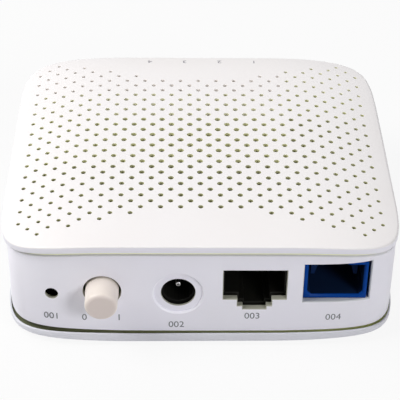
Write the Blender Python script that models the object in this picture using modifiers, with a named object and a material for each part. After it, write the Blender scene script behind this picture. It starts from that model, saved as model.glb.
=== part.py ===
# Optical network terminal: a low white case of three shells with a row of ports on its -Y side.
# Metres, Z up. It stands on its feet, and the box round its footprint is centred on the origin.

import math

import bmesh
import bpy
from mathutils import Matrix

# Fits shared by all pieces
CLEARANCE = 0.0003
ROUND_SIDES = 24

# Case outline and crown
CASE_WIDTH = 0.0796
CASE_DEPTH = 0.0736
CASE_HEIGHT = 0.0250
CORNER_POWER = 8.0
OUTLINE_POINTS = 72
CROWN_DROP = 0.0022
CROWN_FLAT = 0.0150
CROWN_POWER = 2.5
BACK_ROLL_DROP = 0.0012
BACK_ROLL_LENGTH = 0.0095
STRIP_WIDTH = 0.0040

# Lid, wall and base shells
LID_THICKNESS = 0.0015
LID_RIM = 0.00155
BASE_THICKNESS = 0.0018
BASE_RIM = 0.00195
RIM_ROUND = 0.0008
RIM_ROUND_STEPS = 3
WALL_THICKNESS = 0.0016
WALL_INSET = 0.0005
TOP_SEAM = 0.00105
BOTTOM_SEAM = 0.0004
SEAM_OPENING = 0.00045
NECK_RECESS = 0.0004
TONGUE_THICKNESS = 0.0012
TONGUE_DEPTH = 0.0012
LABEL_WIDTH = 0.036
LABEL_LENGTH = 0.022
LABEL_DEPTH = 0.0003

# Vent holes in the lid, on a lattice that is bare beside the middle of the front and back edges.
# Each round hole is drawn with three sides and its own area, which keeps the solid light.
VENT_STEP = 0.0020
VENT_CENTRE_Y = 0.0003
VENT_COLUMNS = 18
VENT_ROWS = 16
VENT_FULL_ROWS = 12
VENT_CORNER_SUM = 32
VENT_BARE_SLOPE = 3
VENT_BARE_START = 32
VENT_RADIUS = 0.00062
VENT_EDGE_RADIUS = 0.00036
VENT_SIDES = 3

# Feet, screw posts and screws
STAND_HEIGHT = 0.0010
FOOT_RADIUS = 0.0040
FOOT_RECESS = 0.0007
FOOT_ROUND = 0.0003
FOOT_FROM_SIDE = 0.0185
FOOT_FROM_END = 0.0100
POST_RADIUS = 0.0024
BOSS_RADIUS = 0.0036
POST_FROM_SIDE = 0.0074
POST_FROM_OPTIC = 0.0010
POST_FROM_BACK = 0.0098
SCREW_RADIUS = 0.0011
SCREW_HEAD_RADIUS = 0.0023
SCREW_HEAD_HEIGHT = 0.0012
SCREW_SINK = 0.0016
SCREW_GRIP = 0.0070
SCREW_SLOT = 0.0006

# Circuit board
BOARD_THICKNESS = 0.0016
BOARD_LIFT = 0.0036
BOARD_EDGE_GAP = 0.0005

# Network jack: a stepped window, with heights above the board
LAN_X = 0.01065
LAN_SILL = 0.0011
LAN_WIDTH = 0.0125
LAN_HEIGHT = 0.0072
LAN_KEY_WIDTH = 0.0068
LAN_KEY_HEIGHT = 0.0017
LAN_LATCH_WIDTH = 0.00465
LAN_LATCH_HEIGHT = 0.0008
LAN_JACK_WIDTH = 0.0158
LAN_JACK_DEPTH = 0.0160
LAN_JACK_ROOF = 0.0020
LAN_CAVITY_DEPTH = 0.0125
LAN_CONTACTS = 8
LAN_CONTACT_PITCH = 0.00102
LAN_CONTACT_RADIUS = 0.0002
LAN_CONTACT_DROP = 0.0016
LAN_CONTACT_START = 0.0014
TRANSFORMER_WIDTH = 0.0160
TRANSFORMER_DEPTH = 0.0090
TRANSFORMER_HEIGHT = 0.0050

# Power jack: a hole in a shallow round recess
DC_X = -0.00445
DC_HEIGHT = 0.00487
DC_HOLE_RADIUS = 0.00325
DC_RECESS_RADIUS = 0.0049
DC_RECESS_DEPTH = 0.0008
DC_JACK_WIDTH = 0.0090
DC_JACK_DEPTH = 0.0130
DC_JACK_ROOF = 0.0046
DC_BORE_RADIUS = 0.00315
DC_BORE_DEPTH = 0.0100
DC_PIN_RADIUS = 0.0010
DC_PIN_RECESS = 0.00175
DC_LEAF_WIDTH = 0.0016
DC_LEAF_THICKNESS = 0.00025
DC_LEAF_START = 0.0034

# Power button, switch and spring
BUTTON_X = -0.01942
BUTTON_HEIGHT = 0.0058
BUTTON_HOLE_RADIUS = 0.00375
BUTTON_TIP_RADIUS = 0.0032
BUTTON_ROOT_RADIUS = 0.0034
BUTTON_ROUND = 0.0006
BUTTON_REACH = 0.0052
BUTTON_TAIL = 0.0028
BUTTON_TRAVEL = 0.0025
STEM_SIDE = 0.0028
STEM_IN_CAP = 0.0040
STEM_IN_SWITCH = 0.0060
SWITCH_WIDTH = 0.0085
SWITCH_DEPTH = 0.0130
SWITCH_ROOF = 0.0048
SPRING_RADIUS = 0.0025
SPRING_WIRE = 0.0002
SPRING_LENGTH = 0.0060
SPRING_TURNS = 5
SPRING_POINTS = 9

# Reset switch behind its pinhole
RESET_X = -0.0294
RESET_HEIGHT = 0.00465
RESET_HOLE_RADIUS = 0.00125
RESET_WIDTH = 0.0060
RESET_DEPTH = 0.0035
RESET_ROOF = 0.0025
RESET_PLUNGER_RADIUS = 0.0010
RESET_PLUNGER_REACH = 0.0012
RESET_TRAVEL = 0.0003
RESET_FROM_WALL = 0.0024

# Optical adapter in its window, and the transceiver behind it
PON_X = 0.02675
PON_SILL = 0.00293
PON_WIDTH = 0.0132
PON_HEIGHT = 0.00935
ADAPTER_SHIFT_X = -0.0002
ADAPTER_WIDTH = 0.0125
ADAPTER_HEIGHT = 0.00875
ADAPTER_RECESS = 0.0014
ADAPTER_DEPTH = 0.0210
ADAPTER_WALL = 0.0009
ADAPTER_POCKET = 0.0125
ADAPTER_RIB = 0.0008
ADAPTER_RIB_SPREAD = 0.0033
ADAPTER_LEG = 0.0030
SLEEVE_RADIUS = 0.0016
SLEEVE_BORE = 0.00125
SLEEVE_LENGTH = 0.0080
SLEEVE_REACH = 0.0030
OPTIC_RADIUS = 0.0030
OPTIC_LENGTH = 0.0155
CAN_RADIUS = 0.0021
CAN_FLANGE_RADIUS = 0.0026
CAN_FLANGE = 0.0010
CAN_LENGTH = 0.0038
RECEIVER_FROM_END = 0.0036

# Lamps and light pipes along the back wall
LAMPS = 4
LAMP_CENTRE_X = 0.00094
LAMP_PITCH = 0.00803
LAMP_FROM_WALL = 0.0055
LAMP_WIDTH = 0.0030
LAMP_DEPTH = 0.0016
LAMP_HEIGHT = 0.0012
PIPE_RADIUS = 0.0010
PIPE_HEIGHT = 0.0060
PIPE_BEND = 0.0012
PIPE_BEND_STEPS = 4
PIPE_PROUD = 0.0002

# Chips and heat sink
CHIP_SIDE = 0.0140
CHIP_THICKNESS = 0.0012
CHIP_X = -0.0040
CHIP_Y = 0.0085
SINK_BASE = 0.0015
SINK_FIN_HEIGHT = 0.0050
SINK_FINS = 5
SINK_FIN_THICKNESS = 0.0012
MEMORY_WIDTH = 0.0080
MEMORY_LENGTH = 0.0120
MEMORY_THICKNESS = 0.0011
FLASH_WIDTH = 0.0052
FLASH_LENGTH = 0.0060
FLASH_THICKNESS = 0.0016
CRYSTAL_WIDTH = 0.0050
CRYSTAL_LENGTH = 0.0032
CRYSTAL_THICKNESS = 0.0012
INDUCTOR_SIDE = 0.0052
INDUCTOR_HEIGHT = 0.0030
INDUCTOR_FROM_POST = 0.0010
CAPACITOR_RADIUS = 0.0031
CAPACITOR_HEIGHT = 0.0070
CAPACITOR_ROUND = 0.0005

# Heights above the surface that the feet stand on
lid_rim_low = CASE_HEIGHT - LID_RIM
wall_top = lid_rim_low - TOP_SEAM
base_rim_top = STAND_HEIGHT + BASE_RIM
wall_bottom = base_rim_top + BOTTOM_SEAM
floor_top = STAND_HEIGHT + BASE_THICKNESS
board_low = floor_top + BOARD_LIFT
board_top = board_low + BOARD_THICKNESS
part_seat = board_top + CLEARANCE

# Depths along Y from the case centre
front_face = -CASE_DEPTH / 2 + WALL_INSET
front_inside = front_face + WALL_THICKNESS
jack_front = front_inside + CLEARANCE
back_face = CASE_DEPTH / 2 - WALL_INSET
back_inside = back_face - WALL_THICKNESS
roll_start = CASE_DEPTH / 2 - BACK_ROLL_LENGTH

# Insets from the outermost outline
wall_inside = WALL_INSET + WALL_THICKNESS
neck_inset = WALL_INSET + NECK_RECESS
tongue_outside = wall_inside + CLEARANCE
tongue_inside = tongue_outside + TONGUE_THICKNESS
board_inset = tongue_inside + BOARD_EDGE_GAP

# The button stands out in front, so the case centre lies behind the middle of the footprint box
case_centre_y = (BUTTON_REACH - WALL_INSET) / 2

# Turns that carry a piece's own upward axis to another side of the case
FACING_FRONT = (math.pi / 2, 0.0, 0.0)
FACING_BACK = (-math.pi / 2, 0.0, 0.0)
FACING_RIGHT = (0.0, math.pi / 2, 0.0)

FINISHES = {
    "case_white": ((0.86, 0.86, 0.87), 0.45, 0.0),
    "button_cream": ((0.86, 0.82, 0.78), 0.40, 0.0),
    "adapter_blue": ((0.01, 0.07, 0.27), 0.35, 0.0),
    "jack_black": ((0.012, 0.012, 0.014), 0.50, 0.0),
    "board_green": ((0.03, 0.16, 0.06), 0.45, 0.0),
    "chip_black": ((0.02, 0.02, 0.022), 0.60, 0.0),
    "steel": ((0.62, 0.62, 0.64), 0.30, 1.0),
    "gold": ((0.85, 0.62, 0.25), 0.28, 1.0),
    "aluminium": ((0.75, 0.76, 0.78), 0.38, 1.0),
    "ferrite": ((0.09, 0.09, 0.10), 0.70, 0.0),
    "ceramic": ((0.88, 0.87, 0.84), 0.30, 0.0),
    "rubber": ((0.05, 0.05, 0.055), 0.85, 0.0),
    "lamp_clear": ((0.80, 0.85, 0.80), 0.20, 0.0),
}


def clear_scene():
    for thing in list(bpy.data.objects):
        bpy.data.objects.remove(thing, do_unlink=True)


def finish(name):
    material = bpy.data.materials.get(name)
    if material is None:
        colour, roughness, metallic = FINISHES[name]
        material = bpy.data.materials.new(name)
        material.use_nodes = True
        shader = material.node_tree.nodes["Principled BSDF"]
        shader.inputs["Base Color"].default_value = (*colour, 1.0)
        shader.inputs["Roughness"].default_value = roughness
        shader.inputs["Metallic"].default_value = metallic
    return material


clear_scene()
parts = bpy.data.collections.new("optical_network_terminal")
cutters = bpy.data.collections.new("cutters")
bpy.context.scene.collection.children.link(parts)
bpy.context.scene.collection.children.link(cutters)
case_centre = bpy.data.objects.new("case_centre", None)
case_centre.location = (0.0, case_centre_y, 0.0)
parts.objects.link(case_centre)


# Placing and joining

def place(name, data, look, location=(0.0, 0.0, 0.0), turn=(0.0, 0.0, 0.0)):
    """Adds a piece at a place in the case, or a cutter where no look is given."""
    thing = bpy.data.objects.new(name, data)
    thing.parent = case_centre
    thing.location = location
    thing.rotation_euler = turn
    if look:
        data.materials.append(finish(look))
        parts.objects.link(thing)
    else:
        cutters.objects.link(thing)
        thing.hide_render = True
        thing.display_type = "WIRE"
    return thing


def mesh_from(name, shape):
    bmesh.ops.recalc_face_normals(shape, faces=shape.faces)
    mesh = bpy.data.meshes.new(name)
    shape.to_mesh(mesh)
    shape.free()
    return mesh


def combine(target, other, operation):
    modifier = target.modifiers.new(other.name, "BOOLEAN")
    modifier.operation = operation
    modifier.solver = "EXACT"
    modifier.object = other


def cut(target, *others):
    for other in others:
        combine(target, other, "DIFFERENCE")


def join(target, *others):
    for other in others:
        combine(target, other, "UNION")


def round_edges(target, width, segments=2):
    bevel = target.modifiers.new("rounded", "BEVEL")
    bevel.width = width
    bevel.segments = segments
    bevel.limit_method = "ANGLE"
    bevel.angle_limit = math.radians(40)


def settled_mesh(target):
    """The mesh of an object with its modifiers worked in, with loose caps welded."""
    bpy.context.view_layer.update()
    graph = bpy.context.evaluated_depsgraph_get()
    mesh = bpy.data.meshes.new_from_object(target.evaluated_get(graph))
    shape = bmesh.new()
    shape.from_mesh(mesh)
    bmesh.ops.remove_doubles(shape, verts=shape.verts, dist=1e-7)
    mesh.clear_geometry()
    shape.to_mesh(mesh)
    shape.free()
    return mesh


def smooth(target):
    target.data.shade_smooth()
    target.data.set_sharp_from_angle(angle=math.radians(35))


# Basic solids

def block(name, low, high, look=None, rounding=0.0):
    size = [top - bottom for bottom, top in zip(low, high)]
    middle = [(top + bottom) / 2 for bottom, top in zip(low, high)]
    shape = bmesh.new()
    bmesh.ops.create_cube(shape, size=1.0, matrix=Matrix.Diagonal((*size, 1.0)))
    solid = place(name, mesh_from(name, shape), look, middle)
    if rounding:
        round_edges(solid, rounding)
    return solid


def standing_cylinders(name, centres, radius, low, high, sides=ROUND_SIDES):
    """One cutter made of upright cylinders, each at its own (x, y)."""
    shape = bmesh.new()
    for x, y in centres:
        bmesh.ops.create_cone(
            shape, cap_ends=True, segments=sides, radius1=radius, radius2=radius,
            depth=high - low, matrix=Matrix.Translation((x, y, (low + high) / 2)),
        )
    return place(name, mesh_from(name, shape), None)


def level_cylinder(name, x, z, radius, front, back, look=None, sides=ROUND_SIDES):
    """A cylinder that lies along Y."""
    shape = bmesh.new()
    bmesh.ops.create_cone(
        shape, cap_ends=True, segments=sides, radius1=radius, radius2=radius, depth=back - front,
    )
    middle = (x, (front + back) / 2, z)
    solid = place(name, mesh_from(name, shape), look, middle, FACING_FRONT)
    if look:
        smooth(solid)
    return solid


def turned(name, profile, look, location, turn=(0.0, 0.0, 0.0), sides=ROUND_SIDES):
    """Turns a profile of (radius, height) points, from the top down, about its own Z axis."""
    mesh = bpy.data.meshes.new(name)
    edges = [(i, i + 1) for i in range(len(profile) - 1)]
    if profile[0][0] > 0:
        edges.append((len(profile) - 1, 0))
    mesh.from_pydata([(radius, 0.0, height) for radius, height in profile], edges, [])
    solid = place(name, mesh, look, location, turn)
    screw = solid.modifiers.new("turned", "SCREW")
    screw.axis = "Z"
    screw.angle = 2 * math.pi
    screw.steps = sides
    screw.render_steps = sides
    screw.use_merge_vertices = True
    screw.merge_threshold = 1e-6
    screw.use_smooth_shade = False
    return solid


def plate(name, points, thickness, look, location, turn=(0.0, 0.0, 0.0)):
    """A flat outline with a thickness, centred on its own plane."""
    curve = bpy.data.curves.new(name, "CURVE")
    curve.dimensions = "2D"
    curve.fill_mode = "BOTH"
    curve.extrude = thickness / 2
    spline = curve.splines.new("POLY")
    spline.points.add(len(points) - 1)
    for point, (x, y) in zip(spline.points, points):
        point.co = (x, y, 0.0, 1.0)
    spline.use_cyclic_u = True
    drawn = place(name + "_outline", curve, None)
    mesh = settled_mesh(drawn)
    bpy.data.objects.remove(drawn)
    return place(name, mesh, look, location, turn)


def wire(name, points, radius, look, resolution=0):
    curve = bpy.data.curves.new(name, "CURVE")
    curve.dimensions = "3D"
    curve.bevel_depth = radius
    curve.bevel_resolution = resolution
    curve.use_fill_caps = True
    spline = curve.splines.new("POLY")
    spline.points.add(len(points) - 1)
    for point, place_on_route in zip(spline.points, points):
        point.co = (*place_on_route, 1.0)
    return place(name, curve, look)


# The case outline and its crown

def outline(inset):
    """The rounded square of the case, drawn in by an inset."""
    half_width = CASE_WIDTH / 2 - inset
    half_depth = CASE_DEPTH / 2 - inset
    points = []
    for step in range(OUTLINE_POINTS):
        angle = 2 * math.pi * (step + 0.5) / OUTLINE_POINTS
        across, along = math.cos(angle), math.sin(angle)
        x = half_width * math.copysign(abs(across) ** (2 / CORNER_POWER), across)
        y = half_depth * math.copysign(abs(along) ** (2 / CORNER_POWER), along)
        points.append((x, y))
    return points


def front_at(x, inset):
    """Y of the front of the outline at a given X."""
    share = min(1.0, abs(x) / (CASE_WIDTH / 2 - inset))
    return -(CASE_DEPTH / 2 - inset) * (1 - share ** CORNER_POWER) ** (1 / CORNER_POWER)


def crown(x):
    past = max(0.0, abs(x) - CROWN_FLAT)
    return CROWN_DROP * (past / (CASE_WIDTH / 2 - CROWN_FLAT)) ** CROWN_POWER


def back_roll(y):
    past = max(0.0, y - roll_start)
    return BACK_ROLL_DROP * (past / BACK_ROLL_LENGTH) ** 2


def by_strips(curve, start, value):
    """A curve that is followed in flat strips of one width, from the place where it starts."""
    low = start + math.floor((value - start) / STRIP_WIDTH) * STRIP_WIDTH
    share = (value - low) / STRIP_WIDTH
    return (1 - share) * curve(low) + share * curve(low + STRIP_WIDTH)


def side_drop(x):
    return by_strips(crown, CROWN_FLAT, abs(x)) if abs(x) > CROWN_FLAT else 0.0


def lid_drop(x, y):
    return side_drop(x) + (by_strips(back_roll, roll_start, y) if y > roll_start else 0.0)


def swept_shell(name, section, look, ring=False):
    """Carries a section of (inset, height) points round the case outline, and closes its ends."""
    shape = bmesh.new()
    loops = []
    for inset, height in section:
        loops.append([shape.verts.new((x, y, height)) for x, y in outline(inset)])
    if ring:
        loops.append(loops[0])
    else:
        shape.faces.new(loops[0])
        shape.faces.new(loops[-1])
    for first, second in zip(loops, loops[1:]):
        for i in range(OUTLINE_POINTS):
            j = (i + 1) % OUTLINE_POINTS
            shape.faces.new((first[i], first[j], second[j], second[i]))
    return place(name, mesh_from(name, shape), look)


def split_in_strips(target, start, end, direction):
    """Splits faces where flat strips meet, on planes that face a direction."""
    shape = bmesh.new()
    shape.from_mesh(target.data)
    for step in range(math.ceil((end - start) / STRIP_WIDTH)):
        point = [(start + step * STRIP_WIDTH) * part for part in direction]
        everything = [*shape.verts, *shape.edges, *shape.faces]
        bmesh.ops.bisect_plane(shape, geom=everything, dist=1e-7, plane_co=point, plane_no=direction)
    shape.to_mesh(target.data)
    shape.free()


def split_for_crown(target):
    for side in (-1.0, 1.0):
        split_in_strips(target, CROWN_FLAT, CASE_WIDTH / 2, (side, 0.0, 0.0))


def bend(target, shift):
    for vertex in target.data.vertices:
        vertex.co.z += shift(vertex.co.x, vertex.co.y, vertex.co.z)


def rounded_rim(outer_height, rim_height):
    """Section points from a flat face round to the rim, where outer_height is the flat face."""
    points = []
    for step in range(RIM_ROUND_STEPS + 1):
        angle = math.pi / 2 * step / RIM_ROUND_STEPS
        inset = RIM_ROUND * (1 - math.sin(angle))
        fall = RIM_ROUND * (1 - math.cos(angle))
        points.append((inset, outer_height + math.copysign(fall, rim_height - outer_height)))
    points.append((0.0, rim_height))
    return points


# Places that several pieces share

post_x = CASE_WIDTH / 2 - POST_FROM_SIDE
adapter_front = front_face + ADAPTER_RECESS
optic_front = adapter_front + ADAPTER_DEPTH + CLEARANCE
can_front = optic_front + OPTIC_LENGTH + CLEARANCE
post_rows = (can_front + CAN_LENGTH + POST_FROM_OPTIC + POST_RADIUS, CASE_DEPTH / 2 - POST_FROM_BACK)
posts = [(side * post_x, y) for y in post_rows for side in (-1, 1)]
screw_seat = STAND_HEIGHT + side_drop(post_x) + SCREW_SINK
screw_top = board_top + SCREW_GRIP
lamp_xs = [LAMP_CENTRE_X + (i - (LAMPS - 1) / 2) * LAMP_PITCH for i in range(LAMPS)]
pipe_z = board_top + PIPE_HEIGHT


# Top cover

def vent_places():
    """The (column, row) steps of each vent hole on the lattice."""
    for row in range(-VENT_ROWS, VENT_ROWS + 1):
        for column in range(-VENT_COLUMNS, VENT_COLUMNS + 1):
            across, along = abs(column), abs(row)
            bare = along > VENT_FULL_ROWS and across < VENT_BARE_SLOPE * along - VENT_BARE_START
            if (column + row) % 2 == 0 and across + along <= VENT_CORNER_SUM and not bare:
                yield column, row


def vent_cutter():
    shape = bmesh.new()
    corner = math.sqrt(2 * math.pi / (VENT_SIDES * math.sin(2 * math.pi / VENT_SIDES)))
    for column, row in vent_places():
        outwards = min(1.0, math.hypot(column / VENT_COLUMNS, row / VENT_ROWS))
        radius = corner * (VENT_RADIUS + (VENT_EDGE_RADIUS - VENT_RADIUS) * outwards)
        middle = (column * VENT_STEP, row * VENT_STEP + VENT_CENTRE_Y, CASE_HEIGHT - LID_THICKNESS / 2)
        bmesh.ops.create_cone(
            shape, cap_ends=True, segments=VENT_SIDES, radius1=radius, radius2=radius,
            depth=2 * LID_THICKNESS, matrix=Matrix.Translation(middle),
        )
    return place("vent_cutter", mesh_from("vent_cutter", shape), None)


def top_cover():
    plate_low = CASE_HEIGHT - LID_THICKNESS
    neck_low = wall_top + CLEARANCE
    tongue_low = wall_top - TONGUE_DEPTH
    section = rounded_rim(CASE_HEIGHT, lid_rim_low)
    section += [(neck_inset, lid_rim_low), (neck_inset, neck_low), (tongue_outside, neck_low)]
    section += [(tongue_outside, tongue_low), (tongue_inside, tongue_low), (tongue_inside, plate_low)]
    lid = swept_shell("top_cover", section, "case_white")
    split_for_crown(lid)
    split_in_strips(lid, roll_start, CASE_DEPTH / 2, (0.0, 1.0, 0.0))
    post_low = board_top + CLEARANCE
    join(lid, standing_cylinders("lid_posts", posts, POST_RADIUS, post_low, plate_low + LID_THICKNESS / 2))
    pilot_radius = SCREW_RADIUS + CLEARANCE
    cut(lid, standing_cylinders("pilot_holes", posts, pilot_radius, board_low, screw_top + CLEARANCE))
    cut(lid, vent_cutter())
    lid.data = settled_mesh(lid)
    lid.modifiers.clear()
    bend(lid, lambda x, y, z: -lid_drop(x, y) if z > screw_top + 2 * CLEARANCE else 0.0)


# Middle frame: the wall ring with the port row

def stepped_window(name, inset, front, back):
    """Cutters for the network jack: its full width, and a key and a latch notch below."""
    sill = board_top + LAN_SILL
    key = sill + LAN_LATCH_HEIGHT
    floor = key + LAN_KEY_HEIGHT
    top = floor + LAN_HEIGHT - inset
    middle = floor + LAN_HEIGHT / 2
    steps = ((LAN_WIDTH, floor, top), (LAN_KEY_WIDTH, key, middle), (LAN_LATCH_WIDTH, sill, middle))
    cutouts = []
    for i, (width, low, high) in enumerate(steps):
        half = width / 2 - inset
        low_corner = (LAN_X - half, front, low + inset)
        cutouts.append(block(f"{name}_{i + 1}", low_corner, (LAN_X + half, back, high)))
    return cutouts


def middle_frame():
    section = [(WALL_INSET, wall_bottom), (WALL_INSET, wall_top)]
    section += [(wall_inside, wall_top), (wall_inside, wall_bottom)]
    frame = swept_shell("middle_frame", section, "case_white", ring=True)
    half = CASE_WIDTH / 2

    def follow(x, y, z):
        if z > (wall_top + wall_bottom) / 2:
            return -lid_drop(x, y)
        return side_drop(x) + SEAM_OPENING * ((1 - x / half) / 2) ** 3

    bend(frame, follow)
    outside = -CASE_DEPTH / 2 - WALL_THICKNESS
    inside = front_at(PON_X + PON_WIDTH / 2, wall_inside) + WALL_THICKNESS
    pon_low = board_top + PON_SILL
    dc_z, button_z, reset_z = (board_top + height for height in (DC_HEIGHT, BUTTON_HEIGHT, RESET_HEIGHT))
    cut(
        frame,
        *stepped_window("lan_window", 0.0, outside, inside),
        block(
            "pon_window", (PON_X - PON_WIDTH / 2, outside, pon_low),
            (PON_X + PON_WIDTH / 2, inside, pon_low + PON_HEIGHT),
        ),
        level_cylinder("dc_recess", DC_X, dc_z, DC_RECESS_RADIUS, outside, front_face + DC_RECESS_DEPTH),
        level_cylinder("dc_hole", DC_X, dc_z, DC_HOLE_RADIUS, outside, inside),
        level_cylinder("button_hole", BUTTON_X, button_z, BUTTON_HOLE_RADIUS, outside, inside),
        level_cylinder("reset_hole", RESET_X, reset_z, RESET_HOLE_RADIUS, outside, inside, sides=16),
    )
    near, far = back_inside - WALL_THICKNESS, CASE_DEPTH / 2 + WALL_THICKNESS
    pipe_hole = PIPE_RADIUS + CLEARANCE
    for i, x in enumerate(lamp_xs):
        cut(frame, level_cylinder(f"pipe_hole_{i + 1}", x, pipe_z, pipe_hole, near, far, sides=16))


# Bottom cover, feet and screws

def bottom_cover():
    neck_top = wall_bottom - CLEARANCE
    tongue_top = wall_bottom + TONGUE_DEPTH
    section = rounded_rim(STAND_HEIGHT, base_rim_top)
    section += [(neck_inset, base_rim_top), (neck_inset, neck_top), (tongue_outside, neck_top)]
    section += [(tongue_outside, tongue_top), (tongue_inside, tongue_top), (tongue_inside, floor_top)]
    base = swept_shell("bottom_cover", section, "case_white")
    split_for_crown(base)
    bend(base, lambda x, y, z: side_drop(x))
    floor_middle = STAND_HEIGHT + BASE_THICKNESS / 2 + side_drop(post_x)
    join(base, standing_cylinders("base_bosses", posts, BOSS_RADIUS, floor_middle, board_low - CLEARANCE))
    head_radius = SCREW_HEAD_RADIUS + CLEARANCE
    foot_radius = FOOT_RADIUS + CLEARANCE
    cut(
        base,
        standing_cylinders("screw_ways", posts, SCREW_RADIUS + CLEARANCE, 0.0, board_top),
        standing_cylinders("screw_sinks", posts, head_radius, 0.0, screw_seat),
        standing_cylinders("foot_recesses", feet, foot_radius, 0.0, foot_seat),
        block(
            "label_recess", (-LABEL_WIDTH / 2, -LABEL_LENGTH / 2, 0.0),
            (LABEL_WIDTH / 2, LABEL_LENGTH / 2, STAND_HEIGHT + LABEL_DEPTH),
        ),
    )


foot_x = CASE_WIDTH / 2 - FOOT_FROM_SIDE
foot_y = CASE_DEPTH / 2 - FOOT_FROM_END
feet = [(across * foot_x, along * foot_y) for along in (-1, 1) for across in (-1, 1)]
foot_seat = STAND_HEIGHT + side_drop(foot_x) + FOOT_RECESS


def foot_pads():
    top = foot_seat - CLEARANCE
    profile = [(0.0, top), (FOOT_RADIUS, top), (FOOT_RADIUS, FOOT_ROUND)]
    profile += [(FOOT_RADIUS - FOOT_ROUND, 0.0), (0.0, 0.0)]
    for i, (x, y) in enumerate(feet):
        turned(f"foot_{i + 1}", profile, "rubber", (x, y, 0.0))


def case_screws():
    head_top = screw_seat - CLEARANCE
    head_low = head_top - SCREW_HEAD_HEIGHT
    profile = [(0.0, screw_top), (SCREW_RADIUS, screw_top), (SCREW_RADIUS, head_top)]
    profile += [(SCREW_HEAD_RADIUS, head_top), (SCREW_HEAD_RADIUS, head_low), (0.0, head_low)]
    for i, (x, y) in enumerate(posts):
        screw = turned(f"case_screw_{i + 1}", profile, "steel", (x, y, 0.0), sides=16)
        slot = SCREW_SLOT / 2
        long = SCREW_HEAD_RADIUS * 0.75
        for turn, (half_x, half_y) in enumerate(((slot, long), (long, slot))):
            groove = block(
                f"screw_slot_{i + 1}_{turn + 1}", (x - half_x, y - half_y, head_low - SCREW_SLOT),
                (x + half_x, y + half_y, head_low + SCREW_SLOT),
            )
            cut(screw, groove)


# Circuit board and what stands on it

def main_board():
    board = plate("main_board", outline(board_inset), BOARD_THICKNESS, "board_green",
                  (0.0, 0.0, (board_low + board_top) / 2))
    hole_radius = SCREW_RADIUS + 2 * CLEARANCE
    cut(board, standing_cylinders("board_holes", posts, hole_radius, board_low - BOARD_LIFT, screw_top))


def on_board(name, x, y, width, depth, height, look, rounding=0.0):
    low = (x - width / 2, y - depth / 2, part_seat)
    high = (x + width / 2, y + depth / 2, part_seat + height)
    return block(name, low, high, look, rounding)


def network_jack():
    cavity_top = board_top + LAN_SILL + LAN_LATCH_HEIGHT + LAN_KEY_HEIGHT + LAN_HEIGHT - CLEARANCE
    back = jack_front + LAN_JACK_DEPTH
    cavity_back = jack_front + LAN_CAVITY_DEPTH
    housing = block(
        "lan_jack_housing", (LAN_X - LAN_JACK_WIDTH / 2, jack_front, part_seat),
        (LAN_X + LAN_JACK_WIDTH / 2, back, cavity_top + LAN_JACK_ROOF), "jack_black",
    )
    cut(housing, *stepped_window("lan_cavity", CLEARANCE, jack_front - CLEARANCE, cavity_back))
    under_roof = cavity_top - LAN_CONTACT_RADIUS - CLEARANCE / 2
    for i in range(LAN_CONTACTS):
        x = LAN_X + (i - (LAN_CONTACTS - 1) / 2) * LAN_CONTACT_PITCH
        start = jack_front + LAN_CONTACT_START
        knee = cavity_back - 2 * LAN_CONTACT_DROP
        points = [
            (x, start, under_roof),
            (x, knee, under_roof - LAN_CONTACT_DROP),
            (x, cavity_back - CLEARANCE, under_roof - LAN_CONTACT_DROP / 2),
        ]
        wire(f"lan_contact_{i + 1}", points, LAN_CONTACT_RADIUS, "gold")
    gap = TRANSFORMER_DEPTH / 2 + LAN_JACK_ROOF
    on_board("lan_transformer", LAN_X, back + gap, TRANSFORMER_WIDTH, TRANSFORMER_DEPTH,
             TRANSFORMER_HEIGHT, "chip_black", CLEARANCE)


def power_jack():
    z = board_top + DC_HEIGHT
    back = jack_front + DC_JACK_DEPTH
    housing = block(
        "dc_jack_housing", (DC_X - DC_JACK_WIDTH / 2, jack_front, part_seat),
        (DC_X + DC_JACK_WIDTH / 2, back, z + DC_JACK_ROOF), "jack_black",
    )
    bore_end = jack_front + DC_BORE_DEPTH
    cut(housing, level_cylinder("dc_bore", DC_X, z, DC_BORE_RADIUS, jack_front - CLEARANCE, bore_end))
    length = DC_BORE_DEPTH - DC_PIN_RECESS - CLEARANCE
    nose = DC_PIN_RADIUS / 2
    profile = [(0.0, length), (nose, length), (DC_PIN_RADIUS, length - nose)]
    profile += [(DC_PIN_RADIUS, 0.0), (0.0, 0.0)]
    turned("dc_jack_pin", profile, "steel", (DC_X, bore_end - CLEARANCE, z), FACING_FRONT, 16)
    leaf_x = DC_X - DC_BORE_RADIUS + CLEARANCE
    half = DC_LEAF_WIDTH / 2
    block("dc_jack_leaf", (leaf_x, jack_front + DC_LEAF_START, z - half),
          (leaf_x + DC_LEAF_THICKNESS, bore_end - CLEARANCE, z + half), "gold")


def spring_points(front, z):
    count = SPRING_TURNS * SPRING_POINTS
    points = []
    for i in range(count + 1):
        angle = 2 * math.pi * i / SPRING_POINTS
        y = front + SPRING_LENGTH * i / count
        points.append((BUTTON_X + SPRING_RADIUS * math.cos(angle), y, z + SPRING_RADIUS * math.sin(angle)))
    return points


def least_gap(points, neighbours, radius):
    """Smallest clear space between two stretches of a tube that are not next to each other."""
    gaps = [
        math.dist(points[i], points[j])
        for i in range(len(points)) for j in range(i + neighbours, len(points))
    ]
    return min(gaps) - 2 * radius


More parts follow.
